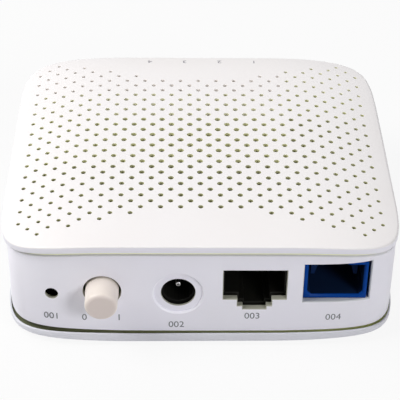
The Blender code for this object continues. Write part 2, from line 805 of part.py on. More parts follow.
def power_switch():
    z = board_top + BUTTON_HEIGHT
    cap_back = front_inside + BUTTON_TAIL
    spring_front = cap_back + CLEARANCE + SPRING_WIRE
    body_front = spring_front + SPRING_LENGTH + SPRING_WIRE + CLEARANCE
    half = STEM_SIDE / 2
    tip = BUTTON_REACH
    root = front_face - cap_back
    profile = [(0.0, tip), (BUTTON_TIP_RADIUS - BUTTON_ROUND, tip)]
    for step in range(1, RIM_ROUND_STEPS + 1):
        angle = math.pi / 2 * step / RIM_ROUND_STEPS
        profile.append((
            BUTTON_TIP_RADIUS - BUTTON_ROUND * (1 - math.sin(angle)),
            tip - BUTTON_ROUND * (1 - math.cos(angle)),
        ))
    profile += [(BUTTON_ROOT_RADIUS, root), (0.0, root)]
    cap = turned("power_button", profile, "button_cream", (BUTTON_X, front_face, z), FACING_FRONT, 32)
    socket = half + CLEARANCE
    socket_front = cap_back - STEM_IN_CAP - CLEARANCE
    cut(cap, block("button_socket", (BUTTON_X - socket, socket_front, z - socket),
                   (BUTTON_X + socket, cap_back + CLEARANCE, z + socket)))
    block("power_switch_plunger", (BUTTON_X - half, cap_back - STEM_IN_CAP, z - half),
          (BUTTON_X + half, body_front + STEM_IN_SWITCH, z + half), "jack_black")
    body = block(
        "power_switch_body", (BUTTON_X - SWITCH_WIDTH / 2, body_front, part_seat),
        (BUTTON_X + SWITCH_WIDTH / 2, body_front + SWITCH_DEPTH, z + SWITCH_ROOF), "jack_black",
    )
    way_back = body_front + STEM_IN_SWITCH + BUTTON_TRAVEL + CLEARANCE
    cut(body, block("plunger_way", (BUTTON_X - socket, body_front - CLEARANCE, z - socket),
                    (BUTTON_X + socket, way_back, z + socket)))
    points = spring_points(spring_front, z)
    wire("power_switch_spring", points, SPRING_WIRE, "steel", 1)
    gap = least_gap(points, SPRING_POINTS // 2, SPRING_WIRE)
    print("spring: least gap to itself", round(gap * 1000, 2), "mm")


def reset_switch():
    z = board_top + RESET_HEIGHT
    front = front_at(RESET_X, wall_inside) + RESET_FROM_WALL
    body = block(
        "reset_switch_body", (RESET_X - RESET_WIDTH / 2, front, part_seat),
        (RESET_X + RESET_WIDTH / 2, front + RESET_DEPTH, z + RESET_ROOF), "jack_black",
    )
    depth = RESET_DEPTH / 2
    cut(body, level_cylinder("reset_way", RESET_X, z, RESET_PLUNGER_RADIUS + CLEARANCE, front - CLEARANCE,
                             front + depth + RESET_TRAVEL + CLEARANCE, sides=16))
    profile = [(0.0, RESET_PLUNGER_REACH), (RESET_PLUNGER_RADIUS, RESET_PLUNGER_REACH)]
    profile += [(RESET_PLUNGER_RADIUS, -depth), (0.0, -depth)]
    turned("reset_plunger", profile, "ceramic", (RESET_X, front, z), FACING_FRONT, 16)


# Optical side

def optical_adapter():
    x = PON_X + ADAPTER_SHIFT_X
    z = board_top + PON_SILL + PON_HEIGHT / 2
    half_width, half_height = ADAPTER_WIDTH / 2, ADAPTER_HEIGHT / 2
    front = adapter_front
    back = front + ADAPTER_DEPTH
    pocket_back = front + ADAPTER_POCKET
    adapter = block("sc_adapter", (x - half_width, front, z - half_height),
                    (x + half_width, back, z + half_height), "adapter_blue")
    in_x, in_z = half_width - ADAPTER_WALL, half_height - ADAPTER_WALL
    cut(adapter, block("adapter_pocket", (x - in_x, front - ADAPTER_WALL, z - in_z),
                       (x + in_x, pocket_back, z + in_z)))
    rib, leg = ADAPTER_RIB / 2, ADAPTER_LEG / 2
    rib_top = z + half_height - ADAPTER_WALL / 2
    for name, side in (("left", -1), ("right", 1)):
        rib_x = x + side * ADAPTER_RIB_SPREAD
        leg_x = x + side * (half_width - leg)
        join(
            adapter,
            block(f"{name}_adapter_rib", (rib_x - rib, front + ADAPTER_RIB, z + in_z - ADAPTER_RIB),
                  (rib_x + rib, pocket_back + ADAPTER_WALL, rib_top)),
            block(f"{name}_adapter_leg", (leg_x - leg, back - 2 * ADAPTER_LEG, part_seat),
                  (leg_x + leg, back - ADAPTER_LEG, z)),
        )
    cut(adapter, level_cylinder("sleeve_way", x, z, SLEEVE_RADIUS + CLEARANCE, pocket_back - ADAPTER_WALL,
                                back + ADAPTER_WALL, sides=16))
    sleeve_front = pocket_back - SLEEVE_REACH
    profile = [(SLEEVE_RADIUS, 0.0), (SLEEVE_RADIUS, -SLEEVE_LENGTH)]
    profile += [(SLEEVE_BORE, -SLEEVE_LENGTH), (SLEEVE_BORE, 0.0)]
    turned("sc_sleeve", profile, "ceramic", (x, sleeve_front, z), FACING_FRONT, 16)
    optic_back = optic_front + OPTIC_LENGTH
    level_cylinder("optic_body", x, z, OPTIC_RADIUS, optic_front, optic_back, "steel")
    can = [(0.0, CAN_LENGTH), (CAN_RADIUS, CAN_LENGTH), (CAN_RADIUS, CAN_FLANGE)]
    can += [(CAN_FLANGE_RADIUS, CAN_FLANGE), (CAN_FLANGE_RADIUS, 0.0), (0.0, 0.0)]
    turned("laser_can", can, "gold", (x, can_front, z), FACING_BACK, 16)
    receiver_place = (x + OPTIC_RADIUS + CLEARANCE, optic_back - RECEIVER_FROM_END, z)
    turned("receiver_can", can, "gold", receiver_place, FACING_RIGHT, 16)


# Lamps, chips and passive parts

def lamps():
    y = back_inside - LAMP_FROM_WALL
    foot = part_seat + LAMP_HEIGHT + CLEARANCE + PIPE_RADIUS / 2
    end = back_face + PIPE_PROUD
    for i, x in enumerate(lamp_xs):
        on_board(f"lamp_{i + 1}", x, y, LAMP_WIDTH, LAMP_DEPTH, LAMP_HEIGHT, "lamp_clear")
        points = [(x, y, foot)]
        for step in range(PIPE_BEND_STEPS + 1):
            angle = math.pi / 2 * step / PIPE_BEND_STEPS
            points.append((
                x, y + PIPE_BEND * (1 - math.cos(angle)), pipe_z - PIPE_BEND * (1 - math.sin(angle)),
            ))
        points.append((x, end, pipe_z))
        wire(f"light_pipe_{i + 1}", points, PIPE_RADIUS, "lamp_clear", 2)


def heat_sink():
    half = CHIP_SIDE / 2
    low = part_seat + CHIP_THICKNESS + CLEARANCE
    shoulder = low + SINK_BASE
    front, back = CHIP_Y - half, CHIP_Y + half
    sink = block("heat_sink", (CHIP_X - half, front, low), (CHIP_X + half, back, shoulder), "aluminium")
    spacing = (CHIP_SIDE - SINK_FIN_THICKNESS) / (SINK_FINS - 1)
    for i in range(SINK_FINS):
        left = CHIP_X - half + i * spacing
        low_corner = (left, front, shoulder - SINK_BASE / 2)
        high_corner = (left + SINK_FIN_THICKNESS, back, shoulder + SINK_FIN_HEIGHT)
        join(sink, block(f"sink_fin_{i + 1}", low_corner, high_corner))


def chips():
    on_board("main_chip", CHIP_X, CHIP_Y, CHIP_SIDE, CHIP_SIDE, CHIP_THICKNESS, "chip_black")
    heat_sink()
    left = CHIP_X - CHIP_SIDE
    on_board("memory_chip", left, CHIP_Y, MEMORY_WIDTH, MEMORY_LENGTH, MEMORY_THICKNESS, "chip_black")
    on_board("flash_chip", left, CHIP_Y + CHIP_SIDE, FLASH_WIDTH, FLASH_LENGTH, FLASH_THICKNESS, "chip_black")
    on_board("crystal", CHIP_X + CHIP_SIDE, CHIP_Y + CHIP_SIDE / 2, CRYSTAL_WIDTH, CRYSTAL_LENGTH,
             CRYSTAL_THICKNESS, "steel", CLEARANCE)
    before_post = post_rows[0] - POST_RADIUS - INDUCTOR_FROM_POST - INDUCTOR_SIDE / 2
    for i, (x, y) in enumerate(((left + CHIP_SIDE / 2, -CHIP_Y), (left - CHIP_SIDE / 2, before_post))):
        side = INDUCTOR_SIDE
        on_board(f"inductor_{i + 1}", x, y, side, side, INDUCTOR_HEIGHT, "ferrite", CLEARANCE)
    shoulder = CAPACITOR_RADIUS - CAPACITOR_ROUND
    profile = [(0.0, CAPACITOR_HEIGHT), (shoulder, CAPACITOR_HEIGHT)]
    profile += [(CAPACITOR_RADIUS, CAPACITOR_HEIGHT - CAPACITOR_ROUND), (CAPACITOR_RADIUS, 0.0), (0.0, 0.0)]
    for i, (x, y) in enumerate(((CHIP_X, -CHIP_Y), (left - CHIP_SIDE / 2, CHIP_Y + CHIP_SIDE / 2))):
        turned(f"capacitor_{i + 1}", profile, "aluminium", (x, y, part_seat), sides=16)


top_cover()
middle_frame()
bottom_cover()
foot_pads()
case_screws()
main_board()
network_jack()
power_jack()
power_switch()
reset_switch()
optical_adapter()
lamps()
chips()
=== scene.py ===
import math

import bmesh
import bpy
from mathutils import Matrix, Vector


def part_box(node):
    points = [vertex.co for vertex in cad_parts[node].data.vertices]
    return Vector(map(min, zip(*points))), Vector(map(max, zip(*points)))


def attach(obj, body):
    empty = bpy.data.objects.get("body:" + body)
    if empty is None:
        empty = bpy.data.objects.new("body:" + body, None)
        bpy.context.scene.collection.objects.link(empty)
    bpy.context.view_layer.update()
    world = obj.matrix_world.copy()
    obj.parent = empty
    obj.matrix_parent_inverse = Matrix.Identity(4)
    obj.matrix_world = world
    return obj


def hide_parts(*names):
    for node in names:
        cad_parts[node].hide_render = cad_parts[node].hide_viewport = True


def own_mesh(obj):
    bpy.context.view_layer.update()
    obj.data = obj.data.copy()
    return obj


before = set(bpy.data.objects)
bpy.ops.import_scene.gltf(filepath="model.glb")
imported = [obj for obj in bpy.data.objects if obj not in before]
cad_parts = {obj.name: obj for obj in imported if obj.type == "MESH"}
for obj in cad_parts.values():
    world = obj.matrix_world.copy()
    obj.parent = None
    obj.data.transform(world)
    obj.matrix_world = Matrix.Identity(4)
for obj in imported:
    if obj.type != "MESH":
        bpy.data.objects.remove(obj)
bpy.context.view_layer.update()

mm = 0.001
print("frame: loaded", len(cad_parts), "solids")


# Where things are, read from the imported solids

screwNodes = [f"case_screw_{i}" for i in range(1, 5)]
footNodes = [f"foot_{i}" for i in range(1, 5)]
pipeNodes = [f"light_pipe_{i}" for i in range(1, 5)]
contactNodes = [f"lan_contact_{i}" for i in range(1, 9)]


def middleOf(node):
    low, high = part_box(node)
    return (low + high) / 2


lidLow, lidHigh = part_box("top_cover")
caseForm = {
    "halfWidth": (lidHigh.x - lidLow.x) / 2,
    "halfDepth": (lidHigh.y - lidLow.y) / 2,
    "centreY": (lidHigh.y + lidLow.y) / 2,
    "top": lidHigh.z,
    "cornerPower": 8.0,       # rounded square, x^8 + y^8
    "backPower": 7.0,         # the two back corners are rounder
    "outlinePoints": 288,
    "lipSteps": 3,            # steps in the small round of each lip
    "crownFlat": 15 * mm,     # half width of the flat middle
    "crownDrop": 2.2 * mm,
    "crownPower": 2.5,
    "rollLength": 9.5 * mm,   # the back edge rolls down over this length
    "rollDrop": 1.2 * mm,
    "baseCurl": 1.4 * mm,
    "baseCurlPower": 1.5,
    "baseTilt": 0.25 * mm,
    "seamDrop": 1.1 * mm,     # the lower seam follows only part of the curl
    "seamDropPower": 2.2,
    "lowerShift": 0.2 * mm,   # wall and base sit a little to +X under the lid
    "cornerPush": 0.45 * mm,  # the +X corners of the base are squarer, the wall's half as much
    "cornerPushFrom": 29 * mm,
    "stripWidth": 1 * mm,     # curved faces are split this finely before they bend
    "stripNear": 1e-7,        # a point this near to a split lies on it
}
rollStart = caseForm["centreY"] + caseForm["halfDepth"] - caseForm["rollLength"]


def casePoint(inset, angle):
    across, along = math.cos(angle), math.sin(angle)
    power = caseForm["backPower"] if along > 0 else caseForm["cornerPower"]
    ratios = (across / (caseForm["halfWidth"] - inset), along / (caseForm["halfDepth"] - inset))
    reach = sum(abs(ratio) ** power for ratio in ratios) ** (-1 / power)
    return reach * across, caseForm["centreY"] + reach * along


def wallFront(x, inset):
    share = min(1.0, abs(x) / (caseForm["halfWidth"] - inset))
    power = caseForm["cornerPower"]
    return caseForm["centreY"] - (caseForm["halfDepth"] - inset) * (1 - share ** power) ** (1 / power)


def sidePast(x, start):
    # 0 up to start, 1 at the case's side
    return max(0.0, x - start) / (caseForm["halfWidth"] - start)


def lidDrop(x, y):
    crown = caseForm["crownDrop"] * sidePast(abs(x), caseForm["crownFlat"]) ** caseForm["crownPower"]
    past = max(0.0, y - rollStart) / caseForm["rollLength"]
    return crown + caseForm["rollDrop"] * past ** 2


def baseRise(x, share):
    # the base curls up at its sides, and sits a little low on the -X side; share is 1 at the lower seam
    past = sidePast(abs(x), caseForm["crownFlat"])
    curl = caseForm["baseCurl"] * past ** caseForm["baseCurlPower"]
    drop = caseForm["seamDrop"] * past ** caseForm["seamDropPower"]
    return curl - share * drop + caseForm["baseTilt"] * x / caseForm["halfWidth"]


def cornerSpread(x):
    past = min(1.0, sidePast(x, caseForm["cornerPushFrom"]))
    return caseForm["cornerPush"] * math.sin(math.pi * past)


# Mesh tools

finishes = {}
fineSides = 48        # of small round holes, screws and the pin
wireSides = 14
sharpAngle = 35       # degrees; steeper edges stay crisp


def show(thing):
    bpy.context.scene.collection.objects.link(thing)


def meshFrom(name, shape, *looks):
    bmesh.ops.recalc_face_normals(shape, faces=shape.faces)
    mesh = bpy.data.meshes.new(name)
    shape.to_mesh(mesh)
    shape.free()
    for look in looks:
        mesh.materials.append(finishes[look])
    return mesh


def joinLoops(shape, loops, ring=False, looks=None):
    # looks gives the finish number of each band between two loops
    rows = [[shape.verts.new(point) for point in loop] for loop in loops]
    pairs = list(zip(rows, rows[1:]))
    if ring:
        pairs.append((rows[-1], rows[0]))
    else:
        shape.faces.new(rows[0])
        shape.faces.new(rows[-1])
    for band, (first, second) in enumerate(pairs):
        for i in range(len(first)):
            j = (i + 1) % len(first)
            face = shape.faces.new((first[i], first[j], second[j], second[i]))
            face.material_index = looks[band] if looks else 0


def sweptCase(sectionAt, ring=False):
    # sectionAt(angle) gives (inset, height, finish number) points, as many at every angle
    count = caseForm["outlinePoints"]
    angles = [2 * math.pi * (step + 0.5) / count for step in range(count)]
    sections = [sectionAt(angle) for angle in angles]
    loops = []
    for points in zip(*sections):
        loops.append([(*casePoint(point[0], angle), point[1]) for point, angle in zip(points, angles)])
    shape = bmesh.new()
    joinLoops(shape, loops, ring, [point[2] for point in sections[0]])
    return shape


def turnOn(shape, profile, sides, centre, axis, look=0):
    # profile holds (radius, way along the axis)
    loops = []
    for radius, along in profile:
        loop = []
        for step in range(sides):
            angle = 2 * math.pi * step / sides
            across, up = radius * math.cos(angle), radius * math.sin(angle)
            offset = (across, along, up) if axis == "y" else (across, up, along)
            loop.append(Vector(centre) + Vector(offset))
        loops.append(loop)
    joinLoops(shape, loops, looks=[look] * (len(loops) - 1))


def turnedMesh(name, look, profile, sides, centre, axis):
    shape = bmesh.new()
    turnOn(shape, profile, sides, centre, axis)
    return meshFrom(name, shape, look)


def uprightPins(centres, radius, low, high, look, sides=32):
    shape = bmesh.new()
    for centre in centres:
        turnOn(shape, [(radius, low), (radius, high)], sides, (centre.x, centre.y, 0.0), "z")
    return meshFrom("pins", shape, look)


def boxIn(shape, low, high):
    size = [b - a for a, b in zip(low, high)]
    middle = [(a + b) / 2 for a, b in zip(low, high)]
    place = Matrix.Translation(middle) @ Matrix.Diagonal((*size, 1.0))
    bmesh.ops.create_cube(shape, size=1.0, matrix=place)


def boxMesh(name, look, *boxes):
    shape = bmesh.new()
    for low, high in boxes:
        boxIn(shape, low, high)
    return meshFrom(name, shape, look)


def roundEdges(shape, edges, width, segments):
    bmesh.ops.bevel(shape, geom=list(edges), offset=width, segments=segments, affect="EDGES", profile=0.5)


def wireMesh(name, look, points, radius, sides=wireSides):
    # a round wire through points, turned along its way without twist
    points = [Vector(point) for point in points]
    angles = [2 * math.pi * step / sides for step in range(sides)]
    loops = []
    side = None
    for i, point in enumerate(points):
        before, after = points[max(i - 1, 0)], points[min(i + 1, len(points) - 1)]
        way = (after - before).normalized()
        guess = side if side else way.orthogonal()
        side = (guess - guess.dot(way) * way).normalized()
        other = way.cross(side)
        loops.append([point + radius * (math.cos(a) * side + math.sin(a) * other) for a in angles])
    shape = bmesh.new()
    joinLoops(shape, loops)
    return meshFrom(name, shape, look)


def quarterRound(radius, steps):
    # (inset, fall) pairs from a flat face round to the side
    angles = [math.pi / 2 * step / steps for step in range(steps + 1)]
    return [(radius * (1 - math.sin(a)), radius * (1 - math.cos(a))) for a in angles]


def splitInStrips(shape, start, end, direction):
    width, near = caseForm["stripWidth"], caseForm["stripNear"]
    for step in range(math.ceil((end - start) / width)):
        point = [(start + step * width) * part for part in direction]
        everything = [*shape.verts, *shape.edges, *shape.faces]
        bmesh.ops.bisect_plane(shape, geom=everything, dist=near, plane_co=point, plane_no=direction)


def splitForCrown(shape):
    for side in (-1.0, 1.0):
        splitInStrips(shape, caseForm["crownFlat"], caseForm["halfWidth"], (side, 0.0, 0.0))


def bend(mesh, lift, slide=None):
    for vertex in mesh.vertices:
        vertex.co.z += lift(*vertex.co)
        if slide:
            vertex.co.x += slide(vertex.co.x)


def settled(target):
    bpy.context.view_layer.update()
    return bpy.data.meshes.new_from_object(target.evaluated_get(bpy.context.evaluated_depsgraph_get()))


def carve(mesh, tool, operation="DIFFERENCE"):
    body = bpy.data.objects.new("carved", mesh)
    cutter = bpy.data.objects.new("tool", tool)
    show(body)
    show(cutter)
    modifier = body.modifiers.new("carve", "BOOLEAN")
    modifier.operation = operation
    modifier.solver = "EXACT"
    modifier.material_mode = "TRANSFER"   # cut faces take the tool's finish
    modifier.object = cutter
    result = settled(body)
    bpy.data.objects.remove(body)
    bpy.data.objects.remove(cutter)
    return result


def addPiece(name, mesh, body, slot, *replaced):
    mesh.shade_smooth()
    mesh.set_sharp_from_angle(angle=math.radians(sharpAngle))
    piece = bpy.data.objects.new(name, mesh)
    show(piece)
    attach(piece, body)
    if replaced:
        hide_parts(*replaced)
    return piece


# Effects that several finishes share

def newGroup(name, inputs, outputs):
    group = bpy.data.node_groups.new(name, "ShaderNodeTree")
    for way, sockets in (("INPUT", inputs), ("OUTPUT", outputs)):
        for label, kind in sockets.items():
            group.interface.new_socket(label, in_out=way, socket_type="NodeSocket" + kind)
    return group, group.nodes.new("NodeGroupInput"), group.nodes.new("NodeGroupOutput")


def addNode(tree, kind, values=None, **settings):
    node = tree.nodes.new(kind)
    for key, value in settings.items():
        setattr(node, key, value)
    for key, value in (values or {}).items():
        node.inputs[key].default_value = value
    return node


def mixColours(tree, factor, first, second):
    mix = addNode(tree, "ShaderNodeMix", data_type="RGBA")
    tree.links.new(factor, mix.inputs[0])
    for source, socket in ((first, mix.inputs[6]), (second, mix.inputs[7])):
        if isinstance(source, bpy.types.NodeSocket):
            tree.links.new(source, socket)
        else:
            socket.default_value = (*source, 1.0)
    return mix.outputs[2]


def swingRoughness(group, given, made, noise):
    # the roughness that is given, moved up and down by the noise
    centred = addNode(group, "ShaderNodeMath", {1: 0.5}, operation="SUBTRACT")
    swing = addNode(group, "ShaderNodeMath", operation="MULTIPLY_ADD")
    group.links.new(noise.outputs["Fac"], centred.inputs[0])
    group.links.new(centred.outputs[0], swing.inputs[0])
    group.links.new(given.outputs["Spread"], swing.inputs[1])
    group.links.new(given.outputs["Roughness"], swing.inputs[2])
    group.links.new(swing.outputs[0], made.inputs["Roughness"])


def buildToneDrift():
    # a slow change of tone over a moulding
    group, given, made = newGroup(
        "toneDrift",
        {"Colour": "Color", "Drift Colour": "Color", "Amount": "Float", "Scale": "Float"},
        {"Colour": "Color"},
    )
    links = group.links
    where = addNode(group, "ShaderNodeTexCoord")
    noise = addNode(group, "ShaderNodeTexNoise", {"Detail": 3.0, "Roughness": 0.55})
    spread = addNode(group, "ShaderNodeMapRange", {"From Min": 0.35, "From Max": 0.65})
    weigh = addNode(group, "ShaderNodeMath", operation="MULTIPLY")
    links.new(where.outputs["Object"], noise.inputs["Vector"])
    links.new(given.outputs["Scale"], noise.inputs["Scale"])
    links.new(noise.outputs["Fac"], spread.inputs["Value"])
    links.new(spread.outputs["Result"], weigh.inputs[0])
    links.new(given.outputs["Amount"], weigh.inputs[1])
    mixed = mixColours(group, weigh.outputs[0], given.outputs["Colour"], given.outputs["Drift Colour"])
    links.new(mixed, made.inputs["Colour"])
    return group


def buildMouldGrain():
    # spark-eroded mould texture: a fine height and a patchy sheen
    group, given, made = newGroup(
        "mouldGrain",
        {"Scale": "Float", "Roughness": "Float", "Spread": "Float"},
        {"Height": "Float", "Roughness": "Float"},
    )
    links = group.links
    where = addNode(group, "ShaderNodeTexCoord")
    fine = addNode(group, "ShaderNodeTexNoise", {"Detail": 2.0, "Roughness": 0.6})
    coarse = addNode(group, "ShaderNodeTexNoise", {"Scale": 160.0, "Detail": 4.0})
    links.new(where.outputs["Object"], fine.inputs["Vector"])
    links.new(where.outputs["Object"], coarse.inputs["Vector"])
    links.new(given.outputs["Scale"], fine.inputs["Scale"])
    links.new(fine.outputs["Fac"], made.inputs["Height"])
    swingRoughness(group, given, made, coarse)
    return group


def buildDrawnLines():
    # fine lines left by drawing or rolling metal, along one axis
    group, given, made = newGroup(
        "drawnLines",
        {"Stretch": "Vector", "Roughness": "Float", "Spread": "Float"},
        {"Height": "Float", "Roughness": "Float"},
    )
    links = group.links
    where = addNode(group, "ShaderNodeTexCoord")
    along = addNode(group, "ShaderNodeMapping")
    noise = addNode(group, "ShaderNodeTexNoise", {"Scale": 1.0, "Detail": 3.0})
    links.new(where.outputs["Object"], along.inputs["Vector"])
    links.new(given.outputs["Stretch"], along.inputs["Scale"])
    links.new(along.outputs["Vector"], noise.inputs["Vector"])
    links.new(noise.outputs["Fac"], made.inputs["Height"])
    swingRoughness(group, given, made, noise)
    return group


toneDrift = buildToneDrift()
mouldGrain = buildMouldGrain()
drawnLines = buildDrawnLines()


# Finishes

def startFinish(name):
    finish = bpy.data.materials.new(name)
    finish.use_nodes = True
    return finish, finish.node_tree, finish.node_tree.nodes["Principled BSDF"]


def useGroup(tree, group, **values):
    node = addNode(tree, "ShaderNodeGroup", node_tree=group)
    for key, value in values.items():
        node.inputs[key.replace("_", " ")].default_value = value
    return node


def driftingTone(tree, look):
    tone = useGroup(
        tree, toneDrift, Colour=(*look["colour"], 1.0), Drift_Colour=(*look["drift"], 1.0),
        Amount=look["driftAmount"], Scale=look["driftScale"],
    )
    return tone.outputs["Colour"]


def connect(tree, shader, colour, roughness, height, depth):
    bump = addNode(tree, "ShaderNodeBump", {"Strength": 1.0, "Distance": depth})
    tree.links.new(height, bump.inputs["Height"])
    tree.links.new(bump.outputs["Normal"], shader.inputs["Normal"])
    tree.links.new(colour, shader.inputs["Base Color"])
    tree.links.new(roughness, shader.inputs["Roughness"])


mouldedUsual = {"driftAmount": 0.6, "driftScale": 45.0, "grain": 3500.0, "spread": 0.25, "depth": 0.012 * mm}
metalUsual = {"driftAmount": 0.7, "driftScale": 220.0, "spread": 0.3, "depth": 0.004 * mm}


def moulded(name, look, maskOf=None):
    # maskOf(tree, look) shows where the look's second colour lies
    look = {**mouldedUsual, **look}
    finish, tree, shader = startFinish(name)
    grain = useGroup(
        tree, mouldGrain, Scale=look["grain"], Roughness=look["roughness"], Spread=look["spread"],
    )
    colour, height = driftingTone(tree, look), grain.outputs["Height"]
    if maskOf:
        mask = maskOf(tree, look)
        colour = mixColours(tree, mask, colour, look["second"])
        height = mask if look.get("raised") else height
    connect(tree, shader, colour, grain.outputs["Roughness"], height, look["depth"])
    for key, value in look.get("sockets", {}).items():
        shader.inputs[key].default_value = value
    return finish


def metal(name, look):
    look = {**metalUsual, **look}
    finish, tree, shader = startFinish(name)
    lines = useGroup(
        tree, drawnLines, Stretch=look["stretch"], Roughness=look["roughness"], Spread=look["spread"],
    )
    colour = driftingTone(tree, look)
    connect(tree, shader, colour, lines.outputs["Roughness"], lines.outputs["Height"], look["depth"])
    shader.inputs["Metallic"].default_value = 1.0
    return finish


def ramp(tree, source, start, end, easing="LINEAR"):
    spread = addNode(
        tree, "ShaderNodeMapRange", {"From Min": start, "From Max": end}, interpolation_type=easing,
    )
    tree.links.new(source, spread.inputs["Value"])
    return spread.outputs["Result"]


def partOf(tree, coordinate, axis):
    where = addNode(tree, "ShaderNodeTexCoord")
    parts = addNode(tree, "ShaderNodeSeparateXYZ")
    tree.links.new(where.outputs[coordinate], parts.inputs[0])
    return parts.outputs[axis]


mouldedLooks = {
    "lidWhite": {"colour": (0.89, 0.868, 0.872), "drift": (0.88, 0.852, 0.845), "roughness": 0.48},
    # painted shade: the case white painted darker and lavender, as the front light tints its upright faces
    "wallCoolShade": {"colour": (0.835, 0.822, 0.90), "drift": (0.825, 0.817, 0.87), "roughness": 0.46},
    # painted light: a lighter copy of the wall's white, for the DC jack's recess
    "recessLitWhite": {"colour": (0.89, 0.88, 0.95), "drift": (0.88, 0.87, 0.93), "roughness": 0.4},
    # painted shade: the base is the case white painted darker and bluish grey
    "baseShadeWhite": {"colour": (0.69, 0.695, 0.75), "drift": (0.67, 0.675, 0.71), "roughness": 0.48},
    # painted shade: the cut edges and sills of the white plastic, painted grey-olive
    "cutEdgeShade": {"colour": (0.46, 0.46, 0.39), "drift": (0.40, 0.40, 0.32), "roughness": 0.6},
    # painted shade inside the vents: olive walls, darker at the front and right, paler towards the back
    "ventShadeDark": {"colour": (0.45, 0.45, 0.255), "drift": (0.40, 0.40, 0.22), "roughness": 0.6},
    "ventShadeOlive": {"colour": (0.60, 0.60, 0.35), "drift": (0.54, 0.54, 0.30), "roughness": 0.6},
    "ventShadeGrey": {"colour": (0.72, 0.71, 0.52), "drift": (0.66, 0.65, 0.47), "roughness": 0.6},
    "ventShadePale": {"colour": (0.82, 0.78, 0.74), "drift": (0.78, 0.74, 0.70), "roughness": 0.6},
    # painted shade: the lid's neck in the top seam, painted olive where the rim shades it
    "neckShade": {"colour": (0.86, 0.88, 0.62), "drift": (0.82, 0.84, 0.57), "roughness": 0.6},
    "seamShade": {"colour": (0.33, 0.33, 0.21), "drift": (0.26, 0.26, 0.16), "roughness": 0.8},
    # painted shade: the sill of the adapter's window in the white plastic, painted grey
    "sillShade": {"colour": (0.62, 0.63, 0.66), "drift": (0.55, 0.56, 0.57), "roughness": 0.55},
    "adapterBlue": {
        "colour": (0.002, 0.052, 0.29), "drift": (0.002, 0.044, 0.25), "driftScale": 180.0,
        "roughness": 0.42, "sockets": {"Specular IOR Level": 0.05},
    },
    # painted shade: dark navy inside the adapter's pocket and keyway
    "adapterInnerShade": {
        "colour": (0.006, 0.018, 0.055), "drift": (0.006, 0.015, 0.045), "driftScale": 180.0,
        "roughness": 0.5, "sockets": {"Specular IOR Level": 0.05},
    },
    # painted shade: the hooks under the adapter's roof, painted a darker blue
    "adapterHookShade": {
        "colour": (0.004, 0.020, 0.085), "drift": (0.004, 0.016, 0.066), "driftScale": 180.0,
        "roughness": 0.5, "sockets": {"Specular IOR Level": 0.05},
    },
    "jackBlack": {
        "colour": (0.006, 0.006, 0.005), "drift": (0.010, 0.010, 0.008),
        "roughness": 0.5, "sockets": {"Specular IOR Level": 0.2},
    },
    "chipBlack": {"colour": (0.02, 0.02, 0.022), "drift": (0.032, 0.032, 0.034), "roughness": 0.62},
    "ferrite": {
        "colour": (0.08, 0.08, 0.09), "drift": (0.11, 0.105, 0.10),
        "roughness": 0.75, "depth": 0.03 * mm,
    },
    "ceramic": {
        "colour": (0.86, 0.85, 0.81), "drift": (0.82, 0.80, 0.74),
        "roughness": 0.25, "depth": 0.002 * mm,
    },
    "footRubber": {
        "colour": (0.05, 0.05, 0.054), "drift": (0.075, 0.073, 0.07),
        "roughness": 0.85, "depth": 0.03 * mm,
    },
    "lampClear": {
        "colour": (0.80, 0.84, 0.80), "drift": (0.74, 0.78, 0.73),
        "roughness": 0.18, "depth": 0.002 * mm,
        "sockets": {"Transmission Weight": 0.55, "IOR": 1.49},
    },
    "inkGrey": {
        "colour": (0.13, 0.14, 0.145), "drift": (0.18, 0.19, 0.195), "driftScale": 900.0,
        "roughness": 0.55,
    },
    "inkPale": {
        "colour": (0.22, 0.21, 0.24), "drift": (0.28, 0.27, 0.30), "driftScale": 900.0,
        "roughness": 0.55,
    },
}
metalLooks = {
    "steel": {
        "colour": (0.62, 0.62, 0.63), "drift": (0.54, 0.53, 0.52),
        "roughness": 0.28, "stretch": (6000.0, 300.0, 6000.0),
    },
    "gold": {
        "colour": (0.86, 0.62, 0.25), "drift": (0.78, 0.54, 0.20),
        "roughness": 0.24, "stretch": (6000.0, 300.0, 6000.0),
    },
    "aluminium": {
        "colour": (0.76, 0.77, 0.78), "drift": (0.68, 0.69, 0.71),
        "roughness": 0.4, "stretch": (5000.0, 250.0, 5000.0), "depth": 0.01 * mm,
    },
}
finishes.update({name: moulded(name, look) for name, look in mouldedLooks.items()})
finishes.update({name: metal(name, look) for name, look in metalLooks.items()})

# green solder mask, with lighter, raised runs where copper lies under it
boardLook = {
    "colour": (0.022, 0.13, 0.05), "drift": (0.016, 0.10, 0.04), "second": (0.045, 0.21, 0.085),
    "driftAmount": 0.8, "driftScale": 120.0, "grain": 2500.0, "spread": 0.2, "roughness": 0.4,
    "cell": 420.0, "traceWidth": 0.16, "traceCore": 0.6, "raised": True, "depth": 0.02 * mm,
}


def traceMask(tree, look):
    where = addNode(tree, "ShaderNodeTexCoord")
    cells = addNode(tree, "ShaderNodeTexVoronoi", {"Scale": look["cell"]}, feature="DISTANCE_TO_EDGE")
    tree.links.new(where.outputs["Object"], cells.inputs["Vector"])
    width = look["traceWidth"]
    return ramp(tree, cells.outputs["Distance"], width, width * look["traceCore"])


# cream plastic, with painted shade: its front face is painted darker than its side
capLook = {
    "colour": (0.85, 0.775, 0.71), "drift": (0.83, 0.75, 0.68), "second": (0.69, 0.605, 0.565),
    "driftScale": 120.0, "spread": 0.2, "roughness": 0.4, "depth": 0.006 * mm,
    "sideTurn": -0.35, "faceTurn": -0.97,   # share of the normal along Y where each tone is whole
}


def faceShadeMask(tree, look):
    # painted shade by the normal's direction: 0 on the side, 1 on the front face
    return ramp(tree, partOf(tree, "Normal", "Y"), look["sideTurn"], look["faceTurn"], "SMOOTHSTEP")


